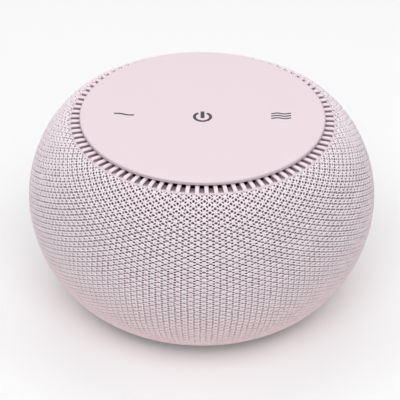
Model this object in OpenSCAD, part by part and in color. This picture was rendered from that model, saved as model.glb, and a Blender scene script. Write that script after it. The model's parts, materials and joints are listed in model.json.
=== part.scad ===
// White noise sound machine, fan type.
// A motor spins a blower wheel in a windowed drum. A fabric-covered shell stands round the drum and twists on
// the base, so that its windows slide past the drum's and change the tone.
// Origin: centre of the feet's underside. Z up, front at -Y. The plug pocket opens underneath, towards +Y.

/* [Outer form] */
// Overall height, from the table to the top of the touch disc
body_h = 81.9; // [78:0.1:92]
// Widest diameter, over the fabric
body_d = 142; // [138:0.5:156]
// Height of the widest place
belly_z = 44.2; // [41:0.1:49]
// Diameter of the fabric's upper edge
rim_d = 107.8; // [104:0.1:112]
// How far the fabric's upper edge lies below the top of the disc
rim_drop = 2.9; // [2.6:0.1:4.4]
// Slope of the side where it leaves the upper edge, below level
rim_slope = 10; // [6:0.1:20]
// How far the side runs on level from the upper edge before it bends down
rim_pull = 5.5; // [4:0.1:9]
// Fullness of the shoulder above the widest place
shoulder_pull = 19; // [14:0.1:22]
// Fullness of the side below the widest place
side_pull = 15.1; // [11:0.1:18]
// Height of the fabric's hem
hem_z = 3.4; // [3:0.1:5]
// Slope of the underside where it meets the hem
hem_slope = 33.2; // [28:0.1:38]
// How far the underside runs straight up from the hem
hem_pull = 14.8; // [10:0.1:18]

/* [Cover] */
// Thickness of the knitted fabric
fabric_t = 1.5; // [1:0.1:2.5]
// Wall of the shell under the fabric
shell_t = 2; // [1.4:0.1:2.4]
// Height of the tongue that joins the shell's halves
tongue_h = 3; // [2:0.1:5]
// Wall of that tongue
tongue_t = 1.2; // [0.8:0.1:1.8]
// Thickness of the ring that holds the fabric's hem
hem_ring_t = 1.2; // [0.8:0.1:1.8]
// Room between the hem ring and the base
hem_gap = 1.6; // [1:0.1:3]
// Thickness of the flange that the cover turns on
flange_t = 2; // [1.4:0.1:2.4]
// Height of the shell's upper and lower window rows
shell_window_h = 12; // [8:0.5:15]
// Distance of each window row from the seam between the halves
shell_window_gap = 5; // [4:0.5:8]

/* [Vent ring] */
// Number of ribs
rib_count = 88; // [60:1:96]
// Thickness of each rib
rib_t = 1.64; // [1:0.02:1.9]
// Depth of the ring and its ribs below the fabric's upper edge
rib_h = 4.2; // [3:0.1:5]
// Rise of the ribs towards the disc
rib_rise = 0.8; // [0.4:0.1:1]
// Gap between the disc's edge and the ring
rib_gap = 0.5; // [0.3:0.1:1]
// How far the ribs reach in under the disc
rib_reach = 1.6; // [1.2:0.1:2.2]
// Length over which the ribs' tops fall to the fabric's edge
rib_fall = 1.5; // [1:0.1:2.5]
// Depth of the slots' floor below the fabric's edge
slot_depth = 1; // [0.6:0.05:1.2]
// Rise of that floor from the fabric to the ribs' inner ends
slot_rise = 0.3; // [0:0.05:0.5]
// Thickness of the slots' floor, and of the skirt inside the shell
ring_t = 1.3; // [1:0.1:1.6]
// Thickness of the lip at the fabric's edge
lip_t = 0.3; // [0.2:0.05:0.5]
// Width of the hidden band at the ribs' inner ends
inner_band_w = 1; // [0.8:0.1:1.2]

/* [Touch disc] */
// Diameter of the disc
disc_d = 99.7; // [96:0.1:101]
// Thickness of the disc's edge
disc_edge_t = 1.6; // [1.4:0.1:2.4]
// Thickness of the disc inside its edge
disc_t = 2.7; // [2.5:0.1:3.4]
// Rounding of the disc's upper edge
disc_round = 0.8; // [0.3:0.1:1.2]
// Depth of the inlaid signs
sign_t = 0.3; // [0.2:0.05:0.6]
// Distance of the wave signs from the centre
sign_x = 31.8; // [24:0.1:36]
// Length of each wave
wave_len = 8.1; // [6:0.1:11]
// Width of the lone wave's line
lone_w = 1; // [0.6:0.05:1.2]
// Height of the lone wave's crest above its middle line
lone_rise = 0.6; // [0.3:0.01:1]
// Part of a turn that the lone wave leaves out at each end
lone_cut = 0.12; // [0:0.01:0.2]
// Width of the three waves' lines
wave_w = 0.85; // [0.4:0.05:1]
// Height of their crests above their middle lines
wave_rise = 0.32; // [0.2:0.01:0.6]
// Part of a turn that they go on for at each end
wave_more = 0.2; // [0:0.01:0.25]
// Spacing of the three waves
wave_pitch = 1.8; // [1.5:0.05:2.6]
// Shift of all waves towards the front
wave_shift = 0.2; // [-1:0.1:1.5]
// Outer radius of the power sign
power_r = 3.9; // [3:0.1:6]
// Width of the power sign's ring
power_w = 1.25; // [0.8:0.05:1.6]
// Width of the power sign's bar
power_bar_w = 1.6; // [0.8:0.05:2]
// Reach of the bar above the ring's centre
power_bar_high = 4.1; // [3:0.1:6]
// Reach of the bar below the ring's centre
power_bar_low = 1; // [0:0.1:1.8]
// Half the angle that is open at the top of the ring
power_open = 32; // [20:1:36]
// Shift of the power sign towards the front
power_shift = 1.6; // [0:0.1:4]

/* [Disc carrier] */
// Floor thickness of the carrier under the disc
dish_t = 1.4; // [1:0.1:2.4]
// Outer diameter of the carrier
dish_d = 92; // [88:0.5:94]
// Wall of the carrier's rim
dish_wall = 1.6; // [1.2:0.1:2.4]
// Length of the posts under the carrier, where the air comes in
dish_post_h = 7.8; // [6:0.1:12]
// Radius of those posts
dish_post_r = 3; // [2.4:0.1:4]
// Distance of the posts from the centre
dish_post_at = 38; // [34:0.5:40]
// Radius of the opening in the carrier's floor
dish_hole_r = 14; // [12:0.5:18]
// Thickness of the touch board
touch_board_t = 1.4; // [1:0.1:1.8]
// Thickness of the touch electrodes
electrode_t = 0.2; // [0.1:0.05:0.3]
// Radius of each touch electrode
electrode_r = 8; // [6:0.5:9]

/* [Drum] */
// Room between the drum and the twisting shell
drum_gap = 1.6; // [1:0.1:3]
// Wall of the drum
drum_t = 2.2; // [1.6:0.1:3]
// Thickness of the deck under the drum
deck_t = 2.4; // [2:0.1:3]
// Height of the deck's screw bosses
boss_h = 6; // [5:0.5:8]
// Thickness of the drum's lid
lid_t = 2.4; // [1.8:0.1:3]
// Radius of the air inlet in the lid
inlet_r = 30; // [26:0.5:33]
// Depth of the inlet's collar
collar_h = 3; // [2:0.1:3.6]
// Number of windows round the drum and round the shell
window_count = 8; // [8:1:8]
// Width of each window, as an angle
window_angle = 22.5; // [16:0.5:24]
// Solid wall left below and above the drum's windows
window_edge = 7; // [5:0.5:12]
// Radius of the drum's screw columns
column_r = 3; // [2.4:0.1:3.6]

/* [Base] */
// Diameter of the base pan's rim
base_d = 92.8; // [90:0.1:96]
// Thickness of the base pan's floor
base_t = 2.4; // [2.2:0.1:3]
// Wall of the base pan's rim
base_wall = 1.6; // [1.2:0.1:2.4]
// Inside height of the base pan, up to the deck
bay_h = 13.6; // [13.4:0.1:18]
// Height of the ledge that carries the cover, above the table
ledge_z = 10.5; // [9.5:0.1:11]
// Thickness of the ledge
ledge_t = 2; // [1.4:0.1:2.2]
// Width of the ledge
ledge_w = 3.2; // [2.4:0.1:4]
// Thickness of the glide ring on the ledge
glide_t = 1; // [0.6:0.1:1.2]
// Twist of the cover between its stops, in degrees
twist = 22; // [10:1:24]
// Width of the stop, as an angle
stop_angle = 8; // [5:0.5:12]
// How far the stop stands out of the base pan's rim
stop_w = 2.2; // [1.6:0.1:2.6]
// Thickness of the rubber feet
foot_t = 2; // [1.4:0.1:3]
// Depth that the feet are let into the base pan
foot_sink = 1; // [0.6:0.1:1.2]
// Radius of each foot
foot_r = 6; // [4:0.5:7]
// Distance of the feet from the centre
foot_at = 36; // [33:0.5:38]

/* [Power inlet] */
// Bore radius of the jack, for a 5.5 mm plug
jack_bore_r = 2.9; // [2.8:0.05:3.1]
// Radius of the jack's centre pin
jack_pin_r = 1.05; // [0.8:0.05:1.3]
// Distance of the pin's tip behind the jack's mouth
pin_recess = 0.6; // [0.3:0.1:1]
// Radius of the pin's root in the jack's body
pin_root_r = 1.6; // [1.4:0.1:1.8]
// Length of that root
pin_root_len = 1.6; // [1:0.1:2]
// Depth of the jack's bore
jack_depth = 9.6; // [9:0.1:10]
// Half the width and height of the jack's body
jack_half = 4.6; // [4.4:0.1:4.6]
// Length of the jack's body behind the pocket's wall
jack_len = 12; // [11:0.1:14]
// Place of the jack's mouth behind the centre
jack_y = 14; // [13.5:0.5:18]
// Width of the plug pocket
pocket_w = 12; // [11:0.5:16]
// Wall of the plug pocket
pocket_wall = 1.6; // [1.2:0.1:1.8]
// Room over the plug in the pocket, from the jack's axis
pocket_over = 5.6; // [5.2:0.1:5.8]
// Width of the channel that a cord leaves by
channel_w = 6; // [5:0.5:8]
// Height of that channel above the table
channel_h = 7; // [6:0.5:8]

/* [Circuit board] */
// Width of the main board
board_w = 50; // [44:0.5:52]
// Place of the board's front edge, ahead of the centre
board_front = 34; // [30:0.5:35]
// Thickness of the main board
board_t = 1.6; // [1:0.1:1.8]
// Radius of the posts under the board
standoff_r = 2.6; // [2:0.1:3]
// Radius of the pegs that hold the board
peg_r = 1.2; // [0.8:0.1:1.6]
// Distance of the pegs from the board's sides
peg_side = 4; // [3:0.1:5]
// Distance of the pegs from the board's front and back
peg_end = 5; // [3:0.1:6]
// Radius of the two large capacitors
cap_r = 4; // [3:0.1:4.4]
// Length of the two large capacitors
cap_len = 7; // [5:0.1:8]
// Width of the power inductor
coil_w = 10; // [7:0.1:12]
// Height of the power inductor
coil_h = 4.6; // [3:0.1:6]
// Place of the inductor's and the driver chip's front, ahead of the centre
part_front = 28; // [24:0.5:28]
// Width of the driver chip
chip_w = 7; // [5:0.1:8]
// Thickness of the chips
chip_t = 1.1; // [0.8:0.1:1.2]
// Height of the cable sockets
socket_h = 1.4; // [1.2:0.1:1.6]

/* [Motor] */
// Height of the deck's posts under the motor
motor_post_h = 2; // [1.5:0.1:4]
// Height of the rubber isolators
isolator_h = 3.6; // [2.4:0.1:5]
// Radius of the rubber isolators
isolator_r = 4; // [3.4:0.1:4.4]
// Distance of the isolators from the centre
isolator_at = 19; // [18.6:0.1:19.4]
// Thickness of the motor plate
motor_plate_t = 1.6; // [1.2:0.1:2]
// Radius of the motor plate
motor_plate_r = 24; // [23.6:0.1:25]
// Outer radius of the bearing tube
tube_r = 5; // [4.6:0.1:5.4]
// Bore radius of the bearing tube
tube_bore_r = 4; // [3.6:0.1:4.2]
// Radius of the bearing tube's foot
tube_foot_r = 8; // [7:0.1:10]
// Thickness of that foot
tube_foot_t = 1.4; // [1:0.1:2]
// Height of the bearing tube
tube_h = 19.4; // [18:0.1:21]
// Height of each bushing
bush_h = 4; // [3:0.1:5]
// Radius of the shaft
shaft_r = 1.5; // [1.2:0.1:2]
// Radial play of the shaft in its bushings
bush_play = 0.03; // [0.02:0.01:0.06]
// Height of the stator's steel stack
stator_h = 10; // [8:0.1:10.5]
// Radius of the stator
stator_r = 17.4; // [16.8:0.1:18]
// Number of stator teeth
tooth_count = 9; // [9:1:9]
// Width of each stator tooth
tooth_w = 3.2; // [2.6:0.1:3.4]
// Thickness of the wire round each tooth
wire_t = 1.4; // [1:0.1:1.45]
// Thickness of the motor board
motor_board_t = 1; // [0.8:0.1:1.2]
// Radius of the motor board
motor_board_r = 16.4; // [14:0.1:16.5]

/* [Rotor] */
// Air gap between stator and magnets
air_gap = 0.7; // [0.5:0.05:1]
// Thickness of the magnet ring
magnet_t = 2.5; // [2:0.1:3]
// Height of the magnet ring
magnet_h = 11; // [9:0.1:12]
// Wall of the rotor cup
cup_t = 1.4; // [1:0.1:1.6]
// Radius of the rotor cup's hub
cup_hub_r = 3.6; // [3:0.1:4.5]
// Height of the rotor cup's hub
cup_hub_h = 4; // [3:0.1:5]
// Outer radius of the blower wheel
wheel_r = 44; // [40:0.5:47]
// Inner radius of the blades
blade_in_r = 28; // [27:0.5:32]
// Room between the wheel and the collar of the drum's lid
wheel_room = 1.8; // [1:0.1:4]
// Number of blades
blade_count = 19; // [11:1:25]
// Thickness of a blade
blade_t = 1.2; // [0.8:0.1:1.6]
// How far each blade sweeps back, as an angle
blade_sweep = 16; // [6:1:24]
// Wall of the wheel's hub, back plate and front ring
wheel_t = 1.6; // [1.2:0.1:2]
// Width of the wheel's front ring
wheel_ring_w = 4; // [3:0.1:6]

/* [Cables and screws] */
// Thickness of the flat cables
cable_t = 0.5; // [0.3:0.05:0.6]
// Width of the touch board's flat cable
ribbon_w = 8; // [6:0.5:9]
// Width of the motor's flat cable
lead_w = 6; // [4:0.5:7]
// Shank radius of the base screws
base_screw_r = 1.45; // [1.2:0.05:1.6]
// Length of the base screws
base_screw_len = 20; // [18.5:0.5:21]
// Shank radius of the small screws
small_screw_r = 1.1; // [0.9:0.05:1.2]
// Length of the small screws
small_screw_len = 8; // [6:0.5:9]
// Distance of the base screws from the centre
base_screw_at = 38; // [37.5:0.5:39]

/* [Hidden] */
$fn = 96;
EPS = 0.01;
play = 0.1;            // axial play under the cover's flange
turn_gap = 0.4;        // radial play of what turns on the base
stop_play = 0.5;       // angle left at each stop, in degrees
steps = 14;            // points along each half of the outer curve
wave_steps = 20;       // points along a wave
screw_play = 0.15;     // radial play of a screw in its through hole

// heights, from the table up
base_z = foot_t - foot_sink;
floor_z = base_z + base_t;
deck_z = floor_z + bay_h;
deck_top = deck_z + deck_t;
glide_z = ledge_z + ledge_t;
flange_z = glide_z + glide_t + play;
disc_under = body_h - disc_t;
edge_under = body_h - disc_edge_t;
board_under = disc_under - electrode_t - touch_board_t;
dish_z = board_under - dish_t;
lid_top = dish_z - dish_post_h;
lid_z = lid_top - lid_t;
jack_z = floor_z + jack_half;
board_z = jack_z + jack_half;
motor_z = deck_top + motor_post_h + isolator_h;
plate_top = motor_z + motor_plate_t;
tube_top = plate_top + tube_h;
motor_board_z = plate_top + tube_foot_t;
coil_over = 1.6;       // how far the coils stand out of the steel stack
stator_z = motor_board_z + motor_board_t + 0.4 + coil_over;
cup_z = plate_top + 2.6;
cup_under = tube_top + 1;
cup_top = cup_under + cup_t;
magnet_z = stator_z + stator_h / 2 - magnet_h / 2;
wheel_z = cup_z + 3.8;
blade_z = wheel_z + wheel_t;
blade_h = lid_z - collar_h - wheel_room - wheel_t - blade_z;

// outer curve
rim_z = body_h - rim_drop;
base_r = base_d / 2;
cover_t = fabric_t + shell_t;
hem_r = base_r + hem_gap + cover_t * sin(hem_slope) + hem_ring_t * cos(hem_slope);
UPPER = [[rim_d / 2, rim_z],
         [rim_d / 2 + rim_pull * cos(rim_slope), rim_z - rim_pull * sin(rim_slope)],
         [body_d / 2, belly_z + shoulder_pull],
         [body_d / 2, belly_z]];
LOWER = [[body_d / 2, belly_z],
         [body_d / 2, belly_z - side_pull],
         [hem_r + hem_pull * cos(hem_slope), hem_z + hem_pull * sin(hem_slope)],
         [hem_r, hem_z]];

// a point on a cubic curve, and its direction there
function on(p, t) = pow(1 - t, 3) * p[0] + 3 * pow(1 - t, 2) * t * p[1]
                    + 3 * (1 - t) * t * t * p[2] + pow(t, 3) * p[3];
function along(p, t) = pow(1 - t, 2) * (p[1] - p[0]) + 2 * (1 - t) * t * (p[2] - p[1])
                       + t * t * (p[3] - p[2]);
// the curve's points, moved inwards by d
function inside(p, t, d) = let (v = along(p, t), n = [-v.y, v.x] / norm(v)) on(p, t) - d * n;
function upper_skin(d) = [for (i = [0:steps]) inside(UPPER, i / steps, d)];
function lower_skin(d) = [for (i = [0:steps]) inside(LOWER, i / steps, d)];
function flip(a) = [for (i = [len(a) - 1:-1:0]) a[i]];
function turned(a) = [for (p = a) [p.y, p.x]];
// radius of the shell's inside at height z
function shell_in_r(z) = z > belly_z ? lookup(z, turned(flip(upper_skin(cover_t))))
                                     : lookup(z, turned(flip(lower_skin(cover_t))));

// drum
drum_r = min(shell_in_r(deck_z), shell_in_r(lid_top)) - drum_gap;
drum_in_r = drum_r - drum_t;
column_at = drum_in_r - column_r + 0.8;
window_step = 360 / window_count;

// vent ring
rim_r = rim_d / 2;
rib_in_r = disc_d / 2 + rib_gap;
rib_top_z = rim_z + rib_rise;
seat = inside(UPPER, 0, cover_t);

// rotor
cup_in_r = stator_r + air_gap + magnet_t;
cup_r = cup_in_r + cup_t;

// outlines of the flat cables, as [y, z] at the middle of their thickness
ribbon_y = drum_in_r - 0.8;
ribbon_in = 42;
socket_y = 10;
ribbon_low = board_z + board_t + socket_h + cable_t / 2;
ribbon_high = board_under - socket_h - cable_t / 2;
RIBBON = [[socket_y - 3, ribbon_high], [socket_y + 6, ribbon_high], [socket_y + 9, lid_top + 4],
          [ribbon_y - 6, lid_top + 3], [ribbon_y, lid_top + 1], [ribbon_y, deck_top + 5],
          [ribbon_in, deck_top + 1.5], [ribbon_in, ribbon_low], [5, ribbon_low]];
lead_y = -(motor_plate_r + 3.5);
LEAD = [[-motor_board_r + 2, motor_board_z - cable_t / 2], [-motor_plate_r + 2, motor_board_z - cable_t / 2],
        [lead_y, motor_z], [lead_y, ribbon_low]];

// screw places
BASE_SCREWS = [30, 150, 210, 330];
COLUMNS = [45, 135, 225, 315];
MOTOR_POSTS = [90, 210, 330];
FEET = [0, 60, 120, 180, 240, 300];
STANDOFFS = [[-1, -1], [1, -1], [-1, 1], [1, 1]];
standoff_x = board_w / 2 - peg_side;
board_back = jack_y - pocket_wall - 1;
standoff_mid = (board_back - board_front) / 2;
standoff_y = (board_back + board_front) / 2 - peg_end;

// ---- shared shapes ----

module pipe(r_out, r_in, h) {
    difference() {
        cylinder(r = r_out, h = h);
        translate([0, 0, -1]) cylinder(r = r_in, h = h + 2);
    }
}

// Children at distance r from the axis, once for each angle.
module around(angles, r) {
    for (a = angles) rotate([0, 0, a]) translate([r, 0, 0]) children();
}

// A wedge of the given angle about +X, out to radius r.
module wedge(angle, r, h) {
    half = angle / 2;
    far = r / cos(half);
    linear_extrude(height = h) polygon([[0, 0], [far * cos(half), -far * sin(half)],
                                        [far * cos(half), far * sin(half)]]);
}

// A pan-head screw with its seat at z = 0, shank upwards and a six-sided socket in its head.
module screw(r, len) {
    head_r = 2 * r;
    head_h = 1.2 * r;
    cylinder(r = r, h = len);
    difference() {
        translate([0, 0, -head_h]) cylinder(r = head_r, h = head_h);
        translate([0, 0, -head_h - 1]) cylinder(r = r, h = 1 + head_h / 2, $fn = 6);
    }
}

// One side of a bent strip: the points moved by d, with mitred corners.
function strip_side(points, d) = [for (i = [0:len(points) - 1]) let (
    before = points[max(i, 1)] - points[max(i, 1) - 1],
    after = points[min(i + 1, len(points) - 1)] - points[min(i, len(points) - 2)],
    n1 = [-before.y, before.x] / norm(before), n2 = [-after.y, after.x] / norm(after))
    points[i] + d * (n1 + n2) / (1 + n1 * n2)];

// A flat cable: straight runs through [y, z] points, width along X.
module flat_cable(points, width) rotate([90, 0, 90]) linear_extrude(height = width, center = true)
    polygon(concat(strip_side(points, cable_t / 2), flip(strip_side(points, -cable_t / 2))));

// Window slots through a shell wall, in a row from z up: three to a window.
module shell_windows(z) {
    slot = window_angle / 5;
    for (k = [0:window_count - 1], s = [-1, 0, 1])
        rotate([0, 0, (k + 0.5) * window_step + s * 1.6 * slot])
            translate([0, 0, z]) wedge(slot, body_d, shell_window_h);
}

// ---- base ----

module base_pan() color("#dcc9cd") difference() {
    union() {
        rotate_extrude() polygon([
            [0, base_z], [base_r - 1, base_z], [base_r, base_z + 1], [base_r, ledge_z],
            [base_r + ledge_w, ledge_z], [base_r + ledge_w, glide_z], [base_r, glide_z],
            [base_r, deck_z], [base_r - base_wall, deck_z], [base_r - base_wall, floor_z], [0, floor_z]]);
        // stop for the cover's twist, at the front
        intersection() {
            rotate([0, 0, -90]) translate([0, 0, glide_z + glide_t])
                wedge(stop_angle, base_r + 2 * stop_w, deck_z - glide_z - glide_t);
            translate([0, 0, glide_z + glide_t])
                pipe(base_r + stop_w, base_r - base_wall, deck_z - glide_z - glide_t);
        }
        // pocket over the plug
        intersection() {
            translate([-pocket_w / 2 - pocket_wall, jack_y - pocket_wall, base_z])
                cube([pocket_w + 2 * pocket_wall, base_r, jack_z + pocket_over + pocket_wall - base_z]);
            cylinder(r = base_r - base_wall / 2, h = deck_z);
        }
        around(BASE_SCREWS, base_screw_at) translate([0, 0, floor_z - EPS])
            cylinder(r = 2 * base_screw_r + 1.5, h = bay_h + EPS);
        for (s = STANDOFFS) translate([s.x * standoff_x, standoff_mid + s.y * standoff_y, floor_z - EPS]) {
            cylinder(r = standoff_r, h = board_z - floor_z + EPS, $fn = 48);
            cylinder(r = peg_r, h = board_z + board_t - floor_z, $fn = 48);
        }
    }
    // plug pocket and the channel that the cord leaves by
    translate([-pocket_w / 2, jack_y, -1])
        cube([pocket_w, base_r - base_wall - jack_y, jack_z + pocket_over + 1]);
    translate([-channel_w / 2, jack_y, -1]) cube([channel_w, base_r, channel_h + 1]);
    translate([0, jack_y + 1, jack_z]) rotate([90, 0, 0]) cylinder(r = jack_half - 0.6, h = pocket_wall + 2);
    around(BASE_SCREWS, base_screw_at) {
        translate([0, 0, base_z - 1]) cylinder(r = 2 * base_screw_r + 0.3, h = floor_z - base_z + 1);
        cylinder(r = base_screw_r + screw_play, h = deck_z + 1);
    }
    around(FEET, foot_at) translate([0, 0, base_z - 1]) cylinder(r = foot_r, h = foot_sink + 1);
}

module rubber_feet() color("#8f8488") around(FEET, foot_at)
    rotate_extrude() polygon([[0, 0], [foot_r - 0.8, 0], [foot_r, 0.6], [foot_r, foot_t], [0, foot_t]]);

module base_screws() color("silver") around(BASE_SCREWS, base_screw_at)
    translate([0, 0, floor_z]) screw(base_screw_r, base_screw_len);

module glide_ring() color("#f0ecec") translate([0, 0, glide_z]) pipe(base_r + ledge_w - 0.2, base_r, glide_t);

// ---- power inlet and main board ----

module dc_jack() color("#26242a") difference() {
    union() {
        translate([-jack_half, jack_y - pocket_wall - jack_len, jack_z - jack_half])
            cube([2 * jack_half, jack_len, 2 * jack_half]);
        translate([0, jack_y, jack_z]) rotate([90, 0, 0]) cylinder(r = jack_half - 0.6, h = pocket_wall + 1);
    }
    translate([0, jack_y + 1, jack_z]) rotate([90, 0, 0]) cylinder(r = jack_bore_r, h = jack_depth + 1);
    translate([0, jack_y - jack_depth + EPS, jack_z]) rotate([90, 0, 0])
        cylinder(r = pin_root_r, h = pin_root_len + EPS);
}

module jack_pin() color("#c9b26a") translate([0, jack_y, jack_z]) rotate([90, 0, 0]) {
    translate([0, 0, pin_recess]) cylinder(r = jack_pin_r, h = jack_depth - pin_recess);
    translate([0, 0, jack_depth]) cylinder(r = pin_root_r, h = pin_root_len);
}

module main_board() color("#2f6b45") difference() {
    translate([-board_w / 2, -board_front, board_z]) cube([board_w, board_front + board_back, board_t]);
    for (s = STANDOFFS) translate([s.x * standoff_x, standoff_mid + s.y * standoff_y, board_z - 1])
        cylinder(r = peg_r, h = board_t + 2, $fn = 48);
}

module bulk_capacitors() color("#3a3d52") for (s = [-1, 1])
    translate([s * (cap_r + 7), -8, board_z - cap_len]) cylinder(r = cap_r, h = cap_len);

module power_inductor() color("#4b4a4c")
    translate([-coil_w / 2, -part_front, board_z - coil_h]) difference() {
        cube([coil_w, coil_w, coil_h]);
        translate([coil_w / 2, coil_w / 2, -1]) cylinder(r = coil_w / 4, h = 1.6);
    }

module driver_chip() color("#1f1f22") translate([coil_w, -part_front, board_z - chip_t])
    cube([chip_w, chip_w, chip_t]);

module board_sockets() color("#efe9dc") {
    translate([-ribbon_w / 2 - 1, 1, board_z + board_t]) cube([ribbon_w + 2, 6, socket_h]);
    translate([-lead_w / 2 - 1, lead_y - 3, board_z + board_t]) cube([lead_w + 2, 6, socket_h]);
    translate([-ribbon_w / 2 - 1, socket_y - 3, board_under - socket_h]) cube([ribbon_w + 2, 6, socket_h]);
}

// ---- fixed drum ----

module deck_plate() color("#e3d7d9") difference() {
    union() {
        translate([0, 0, deck_z]) cylinder(r = drum_r, h = deck_t);
        around(BASE_SCREWS, base_screw_at) translate([0, 0, deck_top - EPS])
            cylinder(r = 2 * base_screw_r + 0.7, h = boss_h);
        around(MOTOR_POSTS, isolator_at) translate([0, 0, deck_top - EPS])
            cylinder(r = isolator_r + 1, h = motor_post_h + EPS);
    }
    around(BASE_SCREWS, base_screw_at) translate([0, 0, deck_z - 1])
        cylinder(r = base_screw_r, h = deck_t + boss_h + 2);
    around(MOTOR_POSTS, isolator_at) translate([0, 0, deck_z - 1])
        cylinder(r = small_screw_r, h = deck_t + motor_post_h + 2);
    around(COLUMNS, column_at) translate([0, 0, deck_z - 1]) {
        cylinder(r = small_screw_r + screw_play, h = deck_t + 2);
        cylinder(r = 2 * small_screw_r + 0.2, h = 1.2 * small_screw_r + 1);
    }
    translate([-ribbon_w / 2 - 0.5, ribbon_in - 1.5, deck_z - 1]) cube([ribbon_w + 1, 3, deck_t + 2]);
    translate([-lead_w / 2 - 0.5, lead_y - 1.5, deck_z - 1]) cube([lead_w + 1, 3, deck_t + 2]);
}

module drum_wall() color("#e9dfe1") difference() {
    translate([0, 0, deck_top]) linear_extrude(height = lid_z - deck_top) difference() {
        circle(r = drum_r);
        difference() {
            circle(r = drum_in_r);
            around(COLUMNS, column_at) circle(r = column_r);
        }
        around(COLUMNS, column_at) circle(r = small_screw_r);
    }
    for (k = [0:window_count - 1]) rotate([0, 0, (k + 0.5) * window_step])
        translate([0, 0, deck_top + window_edge])
            wedge(window_angle, body_d, lid_z - deck_top - 2 * window_edge);
}

module drum_lid() color("#e3d7d9") difference() {
    union() {
        translate([0, 0, lid_z]) cylinder(r = drum_r, h = lid_t);
        translate([0, 0, lid_z - collar_h]) cylinder(r = inlet_r + 1.8, h = collar_h + EPS);
    }
    translate([0, 0, lid_z - collar_h - 1]) cylinder(r = inlet_r, h = collar_h + lid_t + 2);
    for (at = [column_at, dish_post_at]) around(COLUMNS, at) translate([0, 0, lid_z - 1])
        cylinder(r = small_screw_r + screw_play, h = lid_t + 2);
    translate([-ribbon_w / 2 - 0.5, ribbon_y - 1, lid_z - 1]) cube([ribbon_w + 1, 2, lid_t + 2]);
}

module drum_screws() color("silver") around(COLUMNS, column_at)
    translate([0, 0, deck_z + 1.2 * small_screw_r]) screw(small_screw_r, small_screw_len);

module lid_screws() color("silver") around(COLUMNS, column_at)
    translate([0, 0, lid_top]) rotate([180, 0, 0]) screw(small_screw_r, small_screw_len);

// ---- motor, fixed side ----

module motor_isolators() color("#3b383b") around(MOTOR_POSTS, isolator_at)
    translate([0, 0, deck_top + motor_post_h]) difference() {
        rotate_extrude() polygon([
            [0, 0], [isolator_r, 0], [isolator_r, 0.8], [isolator_r - 0.6, isolator_h / 2],
            [isolator_r, isolator_h - 0.8], [isolator_r, isolator_h], [0, isolator_h]]);
        translate([0, 0, -1]) cylinder(r = small_screw_r, h = isolator_h + 2);
    }

module motor_plate() color("#b9bcc0") difference() {
    translate([0, 0, motor_z]) cylinder(r = motor_plate_r, h = motor_plate_t);
    around(MOTOR_POSTS, isolator_at) translate([0, 0, motor_z - 1])
        cylinder(r = small_screw_r + screw_play, h = motor_plate_t + 2);
}

module motor_screws() color("silver") around(MOTOR_POSTS, isolator_at)
    translate([0, 0, plate_top]) rotate([180, 0, 0]) screw(small_screw_r, small_screw_len);

module bearing_tube() color("#c8a95c") translate([0, 0, plate_top]) difference() {
    union() {
        cylinder(r = tube_foot_r, h = tube_foot_t);
        cylinder(r = tube_r, h = tube_h);
    }
    translate([0, 0, -1]) cylinder(r = tube_bore_r, h = tube_h + 2);
}

module bushing(z) color("#a9764a") translate([0, 0, z]) pipe(tube_bore_r, shaft_r + bush_play, bush_h);

module lower_bushing() bushing(motor_board_z + 0.6);

module upper_bushing() bushing(tube_top - bush_h);

module stator_core() color("#7d8086")
    translate([0, 0, stator_z]) linear_extrude(height = stator_h) difference() {
        union() {
            circle(r = tube_r + 3);
            intersection() {
                circle(r = stator_r);
                for (k = [0:tooth_count - 1]) rotate(k * 360 / tooth_count) {
                    translate([0, -tooth_w / 2]) square([stator_r + 1, tooth_w]);
                    polygon([[stator_r - 2.2, -tooth_w / 2], [stator_r - 1.2, -5.2], [stator_r + 1, -5.2],
                             [stator_r + 1, 5.2], [stator_r - 1.2, 5.2], [stator_r - 2.2, tooth_w / 2]]);
                }
            }
        }
        circle(r = tube_r);
    }

module stator_coils() color("#b8672e") for (k = [0:tooth_count - 1]) rotate([0, 0, k * 360 / tooth_count])
    difference() {
        translate([tube_r + 4.8, -tooth_w / 2 - wire_t, stator_z - coil_over])
            cube([stator_r - tube_r - 7.4, tooth_w + 2 * wire_t, stator_h + 2 * coil_over]);
        translate([0, -tooth_w / 2, stator_z]) cube([stator_r, tooth_w, stator_h]);
    }

module motor_board() color("#2f6b45")
    translate([0, 0, motor_board_z]) pipe(motor_board_r, tube_r, motor_board_t);

module motor_lead() color("#3a3a40") flat_cable(LEAD, lead_w);

// ---- rotor ----

module shaft() color("#d5d7da") translate([0, 0, plate_top + 0.3])
    cylinder(r = shaft_r, h = cup_top + cup_hub_h - plate_top - 0.3);

module shaft_clip() color("#8c8f94") translate([0, 0, plate_top + 0.9]) difference() {
    pipe(shaft_r + 1.1, shaft_r, 0.8);
    translate([0, -0.6, -1]) cube([5, 1.2, 3]);
}

module rotor_cup() color("#9ea3a9") rotate_extrude() polygon([
    [cup_in_r, cup_z], [cup_r, cup_z], [cup_r, cup_top], [cup_hub_r, cup_top],
    [cup_hub_r, cup_top + cup_hub_h], [shaft_r, cup_top + cup_hub_h], [shaft_r, cup_under],
    [cup_in_r, cup_under]]);

module magnet_ring() color("#4a4444")
    translate([0, 0, magnet_z]) pipe(cup_in_r, cup_in_r - magnet_t, magnet_h);

// Points of a blade's side, d off its middle line, from the inner radius out.
function blade_side(d) = [for (i = [0:8]) let (
    u = i / 8, r = blade_in_r + u * (wheel_r - 0.5 - blade_in_r), a = blade_sweep * u * u)
    [r * cos(a) - d * sin(2 * a), r * sin(a) + d * cos(2 * a)]];

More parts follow.
